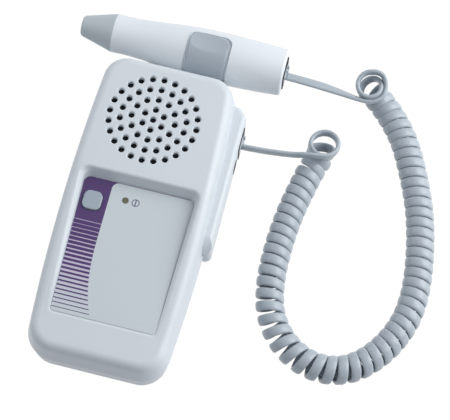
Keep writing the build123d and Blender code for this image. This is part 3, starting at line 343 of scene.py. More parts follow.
def start_tree(name, sizes):
    """A Geometry Nodes tree with named inputs; returns it with its input and output sockets."""
    tree = bpy.data.node_groups.new(name, "GeometryNodeTree")
    tree.interface.new_socket("Geometry", in_out="INPUT", socket_type="NodeSocketGeometry")
    for label, kind in sizes:
        tree.interface.new_socket(label, in_out="INPUT", socket_type=kind)
    tree.interface.new_socket("Geometry", in_out="OUTPUT", socket_type="NodeSocketGeometry")
    return tree, add(tree, "NodeGroupInput").outputs, add(tree, "NodeGroupOutput").inputs


def finish_tree(tree, instances, material, out):
    """Turns the instances into one mesh of this material, as the tree's result."""
    real = add(tree, "GeometryNodeRealizeInstances", {0: instances})
    coated = add(tree, "GeometryNodeSetMaterial", {"Geometry": real.outputs[0], "Material": material})
    tree.links.new(coated.outputs[0], out[0])


def block(shape, low, high, bevel=0.0):
    """Adds a box between two corners to a bmesh, with rounded edges."""
    made = bmesh.ops.create_cube(shape, size=1.0)
    centre = (Vector(low) + Vector(high)) / 2
    size = Vector(high) - Vector(low)
    for v in made["verts"]:
        v.co = centre + Vector((v.co.x * size.x, v.co.y * size.y, v.co.z * size.z))
    if bevel:
        edges = list({e for v in made["verts"] for e in v.link_edges})
        bmesh.ops.bevel(shape, geom=edges, offset=bevel, segments=2, affect="EDGES", profile=0.5)


def finished(shape, name, crease=35):
    """Turns a bmesh into a mesh with smooth faces, and sharp edges past this angle in degrees."""
    bmesh.ops.recalc_face_normals(shape, faces=shape.faces)
    mesh = bpy.data.meshes.new(name)
    shape.to_mesh(mesh)
    shape.free()
    mesh.shade_smooth()
    mesh.set_sharp_from_angle(angle=math.radians(crease))
    return mesh


def route_points(name, points, resolution):
    """Points along the smooth NURBS line that has these control points."""
    curve = bpy.data.curves.new(name, "CURVE")
    curve.dimensions = "3D"
    spline = curve.splines.new("NURBS")
    spline.points.add(len(points) - 1)
    for place, point in zip(spline.points, points):
        place.co = (*point, 1.0)
    spline.order_u = 3
    spline.use_endpoint_u = True
    spline.resolution_u = resolution
    holder = bpy.data.objects.new(name, curve)
    bpy.context.scene.collection.objects.link(holder)
    line = evaluated_mesh(holder, name)
    found = [v.co.copy() for v in line.vertices]
    bpy.data.objects.remove(holder)
    bpy.data.meshes.remove(line)
    return found


def lengths(points):
    """The distance along the line at each of its points."""
    total, out = 0.0, [0.0]
    for a, b in zip(points, points[1:]):
        total += (b - a).length
        out.append(total)
    return out


def sample(points, along, distance):
    """The place at a distance along a line."""
    low, high = 0, len(points) - 1
    while high - low > 1:
        middle = (low + high) // 2
        low, high = (middle, high) if along[middle] <= distance else (low, middle)
    step = along[high] - along[low]
    share = (distance - along[low]) / step if step else 0.0
    return points[low].lerp(points[high], min(max(share, 0.0), 1.0))


def square(vector, heading):
    """The part of a vector that is square to a heading, as a unit vector."""
    return (vector - vector.dot(heading) * heading).normalized()


def sweep(path, wide, half_width, half_thick):
    """A closed tube with a crowned, flattened section along a path."""
    section = []
    for k in range(SECTION_POINTS):
        a = math.tau * k / SECTION_POINTS
        x, y = math.cos(a), math.sin(a)
        across = math.copysign(half_width * abs(x) ** SECTION_POWER, x)
        up = math.copysign(half_thick * abs(y) ** SECTION_POWER, y)
        section.append((across, up))
    around = len(section)
    verts, faces = [], []
    for k, point in enumerate(path):
        heading = (path[min(k + 1, len(path) - 1)] - path[max(k - 1, 0)]).normalized()
        flat = square(wide[k], heading)
        up = heading.cross(flat)
        verts += [point + flat * x + up * y for x, y in section]
    for k in range(len(path) - 1):
        for j in range(around):
            a, b = k * around + j, k * around + (j + 1) % around
            faces.append((a, b, b + around, a + around))
    faces.append(tuple(range(around))[::-1])
    faces.append(tuple(range(len(verts) - around, len(verts))))
    mesh = bpy.data.meshes.new("curly_cord_rings")
    mesh.from_pydata(verts, [], faces)
    shape = bmesh.new()
    shape.from_mesh(mesh)
    bpy.data.meshes.remove(mesh)
    return finished(shape, "curly_cord", crease=50)


# ---------------------------------------------------------------- pieces


class DOPPLER_OT_case(bpy.types.Operator):
    """Gives the case, probe body and cradle their moulded finish"""

    bl_idname = "doppler.case"
    bl_label = "Case and probe shells"

    def execute(self, context):
        values = context.scene.doppler_case
        # ABS, injection moulded in a fine spark-eroded tool: an even satin white with a faint tooth.
        # The tooth is 0.12 mm in truth and is drawn at 0.5 mm so that it shows.
        tooth = {"grain": 0.0005, "depth": 0.00001, "mottle": 0.012, "IOR": 1.53}
        shell = plastic("ABS_satin_moulded_white", values.shell, 0.42, **tooth)
        dress(shell, "front_shell", "rear_shell", "battery_door", "probe_cradle")
        # The probe's body is the same plastic, smoother to the hand; its white is painted lighter than the
        # case's, standing in for the light that falls on its sides.
        white = plastic("ABS_smooth_white_painted_light", values.probe, 0.38, **tooth)
        dress(white, "probe_body")
        # Soft EVA foam, die cut: dark, dull and open-pored.
        foam = plastic("EVA_foam_die_cut_charcoal", "#3A3D42", 0.9, 0.0008, 0.00008, mottle=0.12)
        dress(foam, "cradle_liners")
        return {"FINISHED"}


class DOPPLER_OT_label(bpy.types.Operator):
    """Prints the film on the face: block, stripes and the power sign"""

    bl_idname = "doppler.label"
    bl_label = "Label film and print"

    # The print's layout on the face, in metres.
    PALE_LEFT, PALE_TOP, PALE_CORNER = -0.0122, 0.0106, 0.003
    BLOCK_FOOT = -0.0100
    STRIPE_LEFT_TOP, STRIPE_LEFT_FOOT = -0.0246, -0.0234
    FIRST_STRIPE = -0.0112
    FIELD_FOOT = -0.0509
    # How far the stripes' right ends drift to the right by the last one, along a cubic curve.
    RIGHT_DRIFT, DRIFT_POWER = 0.0059, 3.0
    FADE_TOP, FADE_FOOT = -0.030, -0.051
    SIGN_CENTRE = (-0.0002, 0.0033)
    SIGN_OUTER, SIGN_INNER, SIGN_STEPS = 0.00175, 0.0014, 48
    BAR_HALF_WIDTH, BAR_HALF_LENGTH = 0.000225, 0.0014
    INK_THICKNESS = 0.00004

    def execute(self, context):
        values = context.scene.doppler_label
        dress(self.film(values), "panel_label")

        # Screen ink: an opaque purple film a few hundredths of a millimetre thick.
        ink = plastic("screen_ink_purple", values.ink, 0.38, 0.0004, 0.000004)
        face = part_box("panel_label")[1][2]
        stripes = grow(
            self.stripe_tree(),
            "label_stripes",
            {
                "Material": ink,
                "Count": values.stripes,
                "Pitch": values.pitch,
                "First": self.FIRST_STRIPE,
                "Height": face + self.INK_THICKNESS / 4,
                "Thickest": values.thick,
                "Thinnest": values.thin,
                "Left top": self.STRIPE_LEFT_TOP,
                "Left foot": self.STRIPE_LEFT_FOOT,
                "Right top": self.PALE_LEFT,
                "Right gain": self.RIGHT_DRIFT,
            },
        )
        new_piece("label_stripes", stripes, ink, "case")

        # The power sign is the same print in a greyer ink.
        dark = plastic("screen_ink_slate", "#5B5A78", 0.4, 0.0004, 0.000004)
        new_piece("power_sign", self.sign(face), dark, "case")
        return {"FINISHED"}

    def film(self, values):
        """The film's finish: the pale field, the block at its left and top, and the lilac field below."""
        # Polycarbonate film, 0.3 mm, printed on its back and left with a velvet face: flat colour, soft sheen.
        film, tree, shader, place = start_finish("polycarbonate_film_velvet_printed", Roughness=0.34, IOR=1.58)
        axes = add(tree, "ShaderNodeSeparateXYZ", {"Vector": place}).outputs
        left = math_node(tree, "SUBTRACT", self.PALE_LEFT + self.PALE_CORNER, axes["X"])
        left = math_node(tree, "MAXIMUM", left, 0.0)
        up = math_node(tree, "SUBTRACT", axes["Y"], self.PALE_TOP - self.PALE_CORNER)
        up = math_node(tree, "MAXIMUM", up, 0.0)
        both = add(tree, "ShaderNodeCombineXYZ", {"X": left, "Y": up})
        reach = add(tree, "ShaderNodeVectorMath", {0: both.outputs[0]}, operation="LENGTH")
        outside = math_node(tree, "GREATER_THAN", reach.outputs["Value"], self.PALE_CORNER)
        above = math_node(tree, "GREATER_THAN", axes["Y"], self.BLOCK_FOOT)
        in_block = math_node(tree, "MULTIPLY", outside, above)
        # The lilac field behind the stripes follows their right ends.
        down = map_range(tree, axes["Y"], self.BLOCK_FOOT, self.FIELD_FOOT, 0.0, 1.0)
        bend = math_node(tree, "POWER", down, self.DRIFT_POWER)
        edge = math_node(tree, "MULTIPLY_ADD", bend, self.RIGHT_DRIFT, self.PALE_LEFT)
        inside = math_node(tree, "LESS_THAN", axes["X"], edge)
        fade = map_range(tree, axes["Y"], self.FADE_TOP, self.FADE_FOOT, 1.0, 0.0)
        field = math_node(tree, "MULTIPLY", inside, fade)
        pale = linear(values.film)
        tone = mix_colours(tree, noise(tree, place, 30.0, 3.0), shaded(pale, 0.985), shaded(pale, 1.015))
        lilac = mix_colours(tree, field, tone, linear(values.between))
        inked = mix_colours(tree, in_block, lilac, linear(values.ink))
        tree.links.new(inked, shader.inputs["Base Color"])
        raise_by(tree, shader, noise(tree, place, CELLS_A_GRAIN / 0.0004), 0.000006)
        return film

    def sign(self, face):
        """A ring with a bar, standing astride the film's face."""
        shape = bmesh.new()
        centre = Vector((*self.SIGN_CENTRE, 0))
        low, high = face - self.INK_THICKNESS / 2, face + self.INK_THICKNESS / 2
        angles = [2 * math.pi * k / self.SIGN_STEPS for k in range(self.SIGN_STEPS)]
        rings = []
        for radius, height in (
            (self.SIGN_INNER, low),
            (self.SIGN_OUTER, low),
            (self.SIGN_OUTER, high),
            (self.SIGN_INNER, high),
        ):
            ring = [(centre.x + radius * math.cos(a), centre.y + radius * math.sin(a)) for a in angles]
            rings.append([shape.verts.new((x, y, height)) for x, y in ring])
        for a, b in zip(rings, rings[1:] + rings[:1]):
            for k in range(self.SIGN_STEPS):
                after = (k + 1) % self.SIGN_STEPS
                shape.faces.new((a[k], a[after], b[after], b[k]))
        block(
            shape,
            (centre.x - self.BAR_HALF_WIDTH, centre.y - self.BAR_HALF_LENGTH, low),
            (centre.x + self.BAR_HALF_WIDTH, centre.y + self.BAR_HALF_LENGTH, high),
        )
        return finished(shape, "power_sign")

    def stripe_tree(self):
        """Bars down a line: they get thinner, and their right ends drift out along a curve."""
        names = ["Pitch", "First", "Height", "Thickest", "Thinnest"]
        names += ["Left top", "Left foot", "Right top", "Right gain"]
        sizes = [("Material", "NodeSocketMaterial"), ("Count", "NodeSocketInt")]
        tree, given, out = start_tree("Stripes", sizes + [(n, "NodeSocketFloat") for n in names])
        index = add(tree, "GeometryNodeInputIndex").outputs[0]
        last = math_node(tree, "SUBTRACT", given["Count"], 1.0)
        share = math_node(tree, "DIVIDE", index, last)
        left = map_range(tree, share, 0.0, 1.0, given["Left top"], given["Left foot"])
        bend = math_node(tree, "POWER", share, self.DRIFT_POWER)
        right = math_node(tree, "MULTIPLY_ADD", bend, given["Right gain"], given["Right top"])
        thick = map_range(tree, share, 0.0, 1.0, given["Thickest"], given["Thinnest"])
        drop = math_node(tree, "MULTIPLY", given["Pitch"], -1.0)
        middle = math_node(tree, "MULTIPLY", math_node(tree, "ADD", left, right), 0.5)
        reach = math_node(tree, "SUBTRACT", right, left)
        start = add(tree, "ShaderNodeCombineXYZ", {"Y": given["First"], "Z": given["Height"]})
        offset = add(tree, "ShaderNodeCombineXYZ", {"Y": drop})
        ends = {"Start Location": start.outputs[0], "Offset": offset.outputs[0]}
        line = add(tree, "GeometryNodeMeshLine", {"Count": given["Count"], **ends}, mode="OFFSET")
        shift = add(tree, "ShaderNodeCombineXYZ", {"X": middle})
        placed = add(tree, "GeometryNodeSetPosition", {"Geometry": line.outputs[0], "Offset": shift.outputs[0]})
        bar = add(tree, "GeometryNodeMeshCube", {"Size": (1, 1, 1)})
        size = add(tree, "ShaderNodeCombineXYZ", {"X": reach, "Y": thick, "Z": self.INK_THICKNESS})
        bars = add(
            tree,
            "GeometryNodeInstanceOnPoints",
            {"Points": placed.outputs[0], "Instance": bar.outputs[0], "Scale": size.outputs[0]},
        )
        finish_tree(tree, bars.outputs[0], given["Material"], out)
        return tree


class DOPPLER_OT_controls(bpy.types.Operator):
    """Finishes the button, lamp and thumbwheel"""

    bl_idname = "doppler.controls"
    bl_label = "Button, lamp and wheel"

    def execute(self, context):
        values = context.scene.doppler_case
        # ABS, moulded and lightly polished: a little smoother than the case.
        cap = plastic("ABS_polished_grey", values.button, 0.34, 0.0004, 0.000006, mottle=0.02)
        dress(cap, "power_button", "volume_wheel")
        # Acrylic light pipe over an unlit lamp: an olive tint with a wet gloss.
        soft = {"Subsurface Weight": 0.25, "Subsurface Scale": 0.001}
        tint = {"Base Color": linear("#6F725C"), "Roughness": 0.12, "IOR": 1.49}
        window, tree, shader, place = start_finish("acrylic_light_pipe_olive", **tint, **soft)
        raise_by(tree, shader, noise(tree, place, 900.0, 1.0), 0.00001)
        dress(window, "lamp_window")
        # Epoxy lens of the lamp: clear and pale green.
        tint = {"Base Color": linear("#B9C79E"), "Roughness": 0.08, "Transmission Weight": 0.6}
        lens, tree, shader, place = start_finish("epoxy_lens_clear_green", **tint)
        raise_by(tree, shader, noise(tree, place, 700.0), 0.00001)
        dress(lens, "status_lamp")
        return {"FINISHED"}


class DOPPLER_OT_probe(bpy.types.Operator):
    """Finishes the probe's tip, grip pad and crystals"""

    bl_idname = "doppler.probe"
    bl_label = "Probe tip and pad"

    def execute(self, context):
        values = context.scene.doppler_case
        # Filled ABS, turned smooth at the face: cool grey and satin.
        tip = plastic("ABS_filled_satin_grey", values.tip, 0.45, 0.0005, 0.00001, mottle=0.02)
        dress(tip, "probe_tip")
        # Thermoplastic rubber, moulded matt: a soft grey with a weak broad sheen.
        sheen = {"Sheen Weight": 0.15, "Sheen Roughness": 0.5}
        pad = plastic("TPE_soft_touch_grey", values.pad, 0.6, 0.0006, 0.000015, mottle=0.025, **sheen)
        dress(pad, "probe_grip_pad")
        # Lead zirconate ceramic with fired silver on its faces: pale metal, slightly grainy.
        silver = plastic("ceramic_fired_silver", "#C9C6BE", 0.35, 0.0003, 0.00001, mottle=0.06, Metallic=0.8)
        dress(silver, "crystal_send", "crystal_receive")
        # Tungsten-loaded epoxy, cast: dull dark grey.
        epoxy = plastic("epoxy_cast_tungsten_loaded", "#3B3A3C", 0.7, 0.0006, 0.00003, mottle=0.15)
        dress(epoxy, "crystal_backing")
        return {"FINISHED"}


class DOPPLER_OT_jacks(bpy.types.Operator):
    """Finishes the jacks, sockets and switches, and makes the clear plugs with their blades"""

    bl_idname = "doppler.jacks"
    bl_label = "Jacks and plugs"

    # The body each plug moves with, and where its shoulder starts along Y, beside the cord, in metres.
    PLUGS = {"unit_plug": ("case", 0.0043), "probe_plug": ("probe", 0.0053)}
    # A plug's body from its low corner, the shoulder's sink into it and reach along Z, and their edges.
    BODY_LENGTH, BODY_HEIGHT, BODY_EDGE = 0.0114, 0.0066, 0.0004
    SHOULDER_SINK, SHOULDER_BELOW, SHOULDER_ABOVE, SHOULDER_EDGE = 0.0005, 0.0030, 0.0012, 0.0003
    # The latch and its hinge: where they start from the plug's nose, their half widths and their edges.
    LATCH_START, LATCH_THICKNESS, LATCH_HALF = 0.0018, 0.0011, 0.0016
    HINGE_START, HINGE_END, HINGE_SINK, HINGE_DROP, HINGE_HALF = 0.0015, 0.0030, 0.0004, 0.0001, 0.0015
    LATCH_EDGE = 0.0002
    # The blades stand in a row: their number, pitch and size, and where they start.
    BLADES, BLADE_PITCH, BLADE_SIZE = 6, 0.00102, (0.0030, 0.00032, 0.0022)
    BLADE_INSET, BLADE_DROP = 0.0026, 0.0020

    def execute(self, context):
        values = context.scene.doppler_case
        # Glass-filled PBT, moulded black: dull, with a fine mineral grain.
        black = plastic("PBT_glass_filled_black", values.jack, 0.5, 0.0005, 0.00001, mottle=0.15)
        dress(black, "unit_jack", "probe_jack", "phone_socket", "volume_pot", "power_switch")
        dress(black, "switch_plunger", "battery_snap", "board_chips")
        # Phosphor bronze flashed with gold: warm and bright.
        gold = plastic("bronze_gold_flashed", "#D8AE5A", 0.25, 0.0004, 0.000004, mottle=0.05, Metallic=1.0)
        dress(gold, "unit_jack_contacts", "probe_jack_contacts")
        # Polycarbonate, moulded clear: see-through with a faint blue cast and soft edges.
        glassy = {"Base Color": linear("#DCE6EC"), "Transmission Weight": 0.35, "Roughness": 0.16, "IOR": 1.58}
        clear, tree, shader, place = start_finish("polycarbonate_clear_moulded", **glassy)
        raise_by(tree, shader, noise(tree, place, 350.0), 0.00003)
        blades = self.blade_tree()
        for name, (body, beside) in self.PLUGS.items():
            low, high = (Vector(v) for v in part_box(name))
            mesh = self.plug_mesh(name + "_body", low, high, beside)
            plug = new_piece(name + "_body", mesh, clear, body)
            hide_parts(name)
            row = (self.BLADES - 1) / 2 * self.BLADE_PITCH
            start = (low.x + self.BLADE_INSET, (low.y + high.y) / 2 - row, high.z - self.BLADE_DROP)
            pins = grow(
                blades,
                name + "_blades",
                {
                    "Material": gold,
                    "Count": self.BLADES,
                    "Pitch": self.BLADE_PITCH,
                    "Start": start,
                    "Size": self.BLADE_SIZE,
                },
            )
            new_piece(name + "_blades", pins, gold, body)
        return {"FINISHED"}

    def plug_mesh(self, name, low, high, beside):
        """A body flush with the jack, a shoulder beside the cord, and the latch with its hinge."""
        middle, back, face = (low.z + high.z) / 2, low.y + self.BODY_HEIGHT, low.x + self.BODY_LENGTH
        shape = bmesh.new()
        block(shape, low, Vector((face, back, high.z)), self.BODY_EDGE)
        block(
            shape,
            (face - self.SHOULDER_SINK, low.y + beside, middle - self.SHOULDER_BELOW),
            (high.x, back, middle + self.SHOULDER_ABOVE),
            self.SHOULDER_EDGE,
        )
        block(
            shape,
            (low.x + self.LATCH_START, high.y - self.LATCH_THICKNESS, middle - self.LATCH_HALF),
            (high.x, high.y, middle + self.LATCH_HALF),
            self.LATCH_EDGE,
        )
        block(
            shape,
            (low.x + self.HINGE_START, back - self.HINGE_SINK, middle - self.HINGE_HALF),
            (low.x + self.HINGE_END, high.y - self.HINGE_DROP, middle + self.HINGE_HALF),
            self.LATCH_EDGE,
        )
        return finished(shape, name)

    @staticmethod
    def blade_tree():
        """Thin contact blades side by side."""
        tree, given, out = start_tree(
            "Blades",
            [
                ("Material", "NodeSocketMaterial"),
                ("Count", "NodeSocketInt"),
                ("Pitch", "NodeSocketFloat"),
                ("Start", "NodeSocketVector"),
                ("Size", "NodeSocketVector"),
            ],
        )
        step = add(tree, "ShaderNodeCombineXYZ", {"Y": given["Pitch"]})
        ends = {"Start Location": given["Start"], "Offset": step.outputs[0]}
        line = add(tree, "GeometryNodeMeshLine", {"Count": given["Count"], **ends}, mode="OFFSET")
        blade = add(tree, "GeometryNodeMeshCube", {"Size": given["Size"]})
        places = {"Points": line.outputs[0], "Instance": blade.outputs[0]}
        blades = add(tree, "GeometryNodeInstanceOnPoints", places)
        finish_tree(tree, blades.outputs[0], given["Material"], out)
        return tree


class DOPPLER_OT_cord(bpy.types.Operator):
    """Winds the flat curly cord along its route"""

    bl_idname = "doppler.cord"
    bl_label = "Curly cord"

    # Frames along the coil's axis.
    FRAMES = 900
    # Relative spacing of the turns by their share of the coil, from the unit's end to the probe's.
    SPACING = (
        (0.0, 5.6),
        (0.05, 5.6),
        (0.09, 4.9),
        (0.22, 5.0),
        (0.31, 5.9),
        (0.38, 6.1),
        (0.44, 5.5),
        (0.50, 4.9),
        (0.92, 4.9),
        (0.96, 5.4),
        (1.0, 5.4),
    )
    # How much wider the first and the last turn are, in metres of radius.
    LOOSE_FIRST, LOOSE_LAST = 0.0016, 0.0007
    # How far the leads run on in line with the coil's ends before they turn away.
    AIM_IN, AIM_OUT = 0.0065, 0.004
    # Points to each control point: on the coil's axis and on the leads.
    AXIS_DETAIL, LEAD_DETAIL = 24, 8
    # The probe's lead starts to lean this far before its plug, and lies flat after this much more.
    LEAN_START, LEAN_RUN = 0.046, 0.028
    # Which way the cord's width points: on edge, and nearly flat at the probe's plug.
    UPRIGHT, LEVEL = (0.0, 0.0, 1.0), (0.0, -0.93, 0.37)
    # The line across which the cord would go over from the case's motion to the probe's, in metres; nothing
    # here uses it, and the cord is not blended.
    BLEND_ALONG, BLEND_START, BLEND_END = (-0.745, 0.667, 0.0), 0.0034, 0.0185
    # The jacket's end inside a plug: its first point and its step, in metres.
    GRIP_START, GRIP_STEP, GRIP_POINTS = 0.0001, 0.0012, 5

    def execute(self, context):
        values = context.scene.doppler_cord
        half_width, half_thick = values.width / 2, values.thickness / 2
        upright, level = Vector(self.UPRIGHT), Vector(self.LEVEL)
        coil, flats = self.wind(values)
        head = (coil[1] - coil[0]).normalized()
        tail = (coil[-1] - coil[-2]).normalized()
        to_coil = UNIT_LEAD + [coil[0] - head * self.AIM_IN, coil[0]]
        from_coil = [coil[-1], coil[-1] + tail * self.AIM_OUT] + PROBE_LEAD
        lead_in = route_points("unit_lead", to_coil, self.LEAD_DETAIL)
        lead_out = route_points("probe_lead", from_coil, self.LEAD_DETAIL)
        out_along = lengths(lead_out)
        path = lead_in[:-1] + coil + lead_out[1:]
        n_in, n_out = len(lead_in) - 1, len(lead_out) - 1
        # Both leads leave their coil on edge; the one to the probe leans over to lie nearly flat at its plug.
        wide = [upright.lerp(flats[0] * -1, k / n_in) * -1 for k in range(n_in)] + flats
        for k in range(1, n_out + 1):
            lean = (self.LEAN_START - out_along[-1] + out_along[k]) / self.LEAN_RUN
            wide.append(flats[-1].lerp(level, min(max(lean, 0.0), 1.0)))
        mesh = sweep(path, wide, half_width, half_thick)
        # PVC jacket, extruded flat and heat-set on a mandrel: an even grey with a soft, slightly waxy shine.
        jacket = plastic("PVC_extruded_jacket_grey", values.colour, 0.3, 0.0009, 0.00001, IOR=1.52)
        cord = new_piece("curly_cord", mesh, jacket, None)
        # The ends of the jacket, gripped in the plugs.
        for name, body, place, flat in (
            ("unit_cord_end", "case", UNIT_LEAD[0], upright),
            ("probe_cord_end", "probe", PROBE_LEAD[-1], level),
        ):
            insets = [self.GRIP_START + self.GRIP_STEP * k for k in range(self.GRIP_POINTS)]
            path_in = [Vector(place) - Vector((inset, 0.0, 0.0)) for inset in insets]
            end = sweep(path_in, [flat] * self.GRIP_POINTS, half_width, half_thick)
            new_piece(name, end, jacket, body)
        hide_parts("cord_lead_unit", "cord_coil", "cord_lead_probe")
        round(lengths(path)[-1], 3)
        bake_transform(cord)
        return {"FINISHED"}

    def wind(self, values):
        """The middle line of the wound cord, and the way its width points at each of its points."""
        axis = route_points("coil_axis", COIL_AXIS, self.AXIS_DETAIL)
        along = lengths(axis)
        count = self.FRAMES
        # Frames that turn with the axis and not about it.
        places = [sample(axis, along, along[-1] * k / count) for k in range(count + 1)]
        headings = [(places[min(k + 1, count)] - places[max(k - 1, 0)]).normalized() for k in range(count + 1)]
        across = [square(Vector((0.0, -1.0, 0.0)), headings[0])]
        for k in range(1, count + 1):
            turn = headings[k - 1].rotation_difference(headings[k])
            across.append(square(turn @ across[-1], headings[k]))
        # The turns lie closest on the straight limbs and open in the bends.
        weights = [1.0 / self.spacing(k / count) for k in range(count + 1)]
        wound = [0.0]
        for a, b in zip(weights, weights[1:]):
            wound.append(wound[-1] + (a + b) / 2)
        foot = square(Vector((0.0, 1.0, 0.0)), headings[-1])
        side = -headings[-1].cross(across[-1])
        last = math.atan2(foot.dot(side), foot.dot(across[-1]))
        whole = 2 * math.pi * values.turns + last
        phases = [whole * w / wound[-1] for w in wound]
        steps = values.turns * values.steps
        coil, flats = [], []
        low = 0
        for n in range(steps + 1):
            phase = whole * n / steps
            while low < count - 1 and phases[low + 1] < phase:
                low += 1
            share = (phase - phases[low]) / (phases[low + 1] - phases[low])
            middle = places[low].lerp(places[low + 1], share)
            heading = headings[low].lerp(headings[low + 1], share).normalized()
            first = square(across[low].lerp(across[low + 1], share), heading)
            second = -heading.cross(first)
            # The end turns open towards the leads.
            early = self.LOOSE_FIRST * max(0.0, 1 - phase / math.tau)
            late = self.LOOSE_LAST * max(0.0, 1 - (whole - phase) / math.pi) ** 2
            radius = values.radius + (early + late)
            coil.append(middle + radius * (math.cos(phase) * first + math.sin(phase) * second))
            flats.append(heading.copy())
        return coil, flats

    def spacing(self, share):
        """Relative spacing of the turns at this share of the coil."""
        for (a, low), (b, high) in zip(self.SPACING, self.SPACING[1:]):
            if share <= b:
                return low + (high - low) * (share - a) / (b - a)
        return self.SPACING[-1][1]


class DOPPLER_OT_inside(bpy.types.Operator):
    """Finishes what is inside: speaker, board, battery and screws"""

    bl_idname = "doppler.inside"
    bl_label = "Speaker, board and battery"

    # The cloth's mesh, and where the battery's light band starts along Y, in metres.
    THREAD = 0.0005
    BAND_Y = -0.050

    def execute(self, context):
        # Woven polyester grille cloth, 0.5 mm mesh: near black, its threads drawn at their own size.
        cloth, tree, shader, place = start_finish("polyester_woven_black", Roughness=0.95)
        threads = {"Vector": place, "Scale": 0.5 / self.THREAD / 6.28}
        warp = add(tree, "ShaderNodeTexWave", threads, bands_direction="X").outputs["Fac"]
        weft = add(tree, "ShaderNodeTexWave", threads, bands_direction="Y").outputs["Fac"]
        weave = math_node(tree, "MAXIMUM", warp, weft)
        tone = mix_colours(tree, weave, linear("#050608"), linear("#15171B"))
        tree.links.new(tone, shader.inputs["Base Color"])
        raise_by(tree, shader, weave, 0.0001)
        dress(cloth, "grille_cloth")
        # Pressed paper pulp: fibrous and dull.
        paper = plastic("paper_pulp_pressed_black", "#1B1B1D", 0.92, 0.0006, 0.00004, mottle=0.3)
        dress(paper, "speaker_cone")
        # Steel strip, stamped and zinc plated: cool grey with a fine rolled grain.
        steel = plastic("steel_stamped_zinc", "#B6B9BB", 0.38, 0.0004, 0.00001, mottle=0.08, Metallic=1.0)
        dress(steel, "speaker_frame")
        # Steel wire, cold headed and zinc plated: brighter than the frame.
        bright = plastic("steel_cold_headed_zinc", "#C6C9CC", 0.28, 0.0003, 0.00001, mottle=0.06, Metallic=1.0)
        dress(bright, "case_screws", "board_screws", "cradle_screws")
        # Barium ferrite, pressed and fired: dark and chalky.
        ferrite = plastic("ferrite_fired_dark", "#34343A", 0.65, 0.0005, 0.00002, mottle=0.15)
        dress(ferrite, "speaker_magnet")
        # Glass epoxy laminate under green solder mask: tracks show as faint raised lines.
        board, tree, shader, place = start_finish("FR4_solder_mask_green", Roughness=0.35)
        green = {"Color1": linear("#1E5A38"), "Color2": linear("#226340"), "Mortar": linear("#3A8A5A")}
        layout = {"Vector": place, "Scale": 250.0, "Mortar Size": 0.03}
        tracks = add(tree, "ShaderNodeTexBrick", {**layout, **green}).outputs
        tree.links.new(tracks["Color"], shader.inputs["Base Color"])
        raise_by(tree, shader, tracks["Fac"], 0.00003)
        dress(board, "main_board", "probe_board")
        # Tinplate can, lacquered: dark blue-grey with a tan band at one end.
        can, tree, shader, place = start_finish("tinplate_lacquered_battery", Metallic=0.6, Roughness=0.3)
        axes = add(tree, "ShaderNodeSeparateXYZ", {"Vector": place}).outputs
        band = math_node(tree, "LESS_THAN", axes["Y"], self.BAND_Y)
        paint = mix_colours(tree, band, linear("#2E3640"), linear("#B08A4A"))
        tree.links.new(paint, shader.inputs["Base Color"])
        dress(can, "battery")
        return {"FINISHED"}


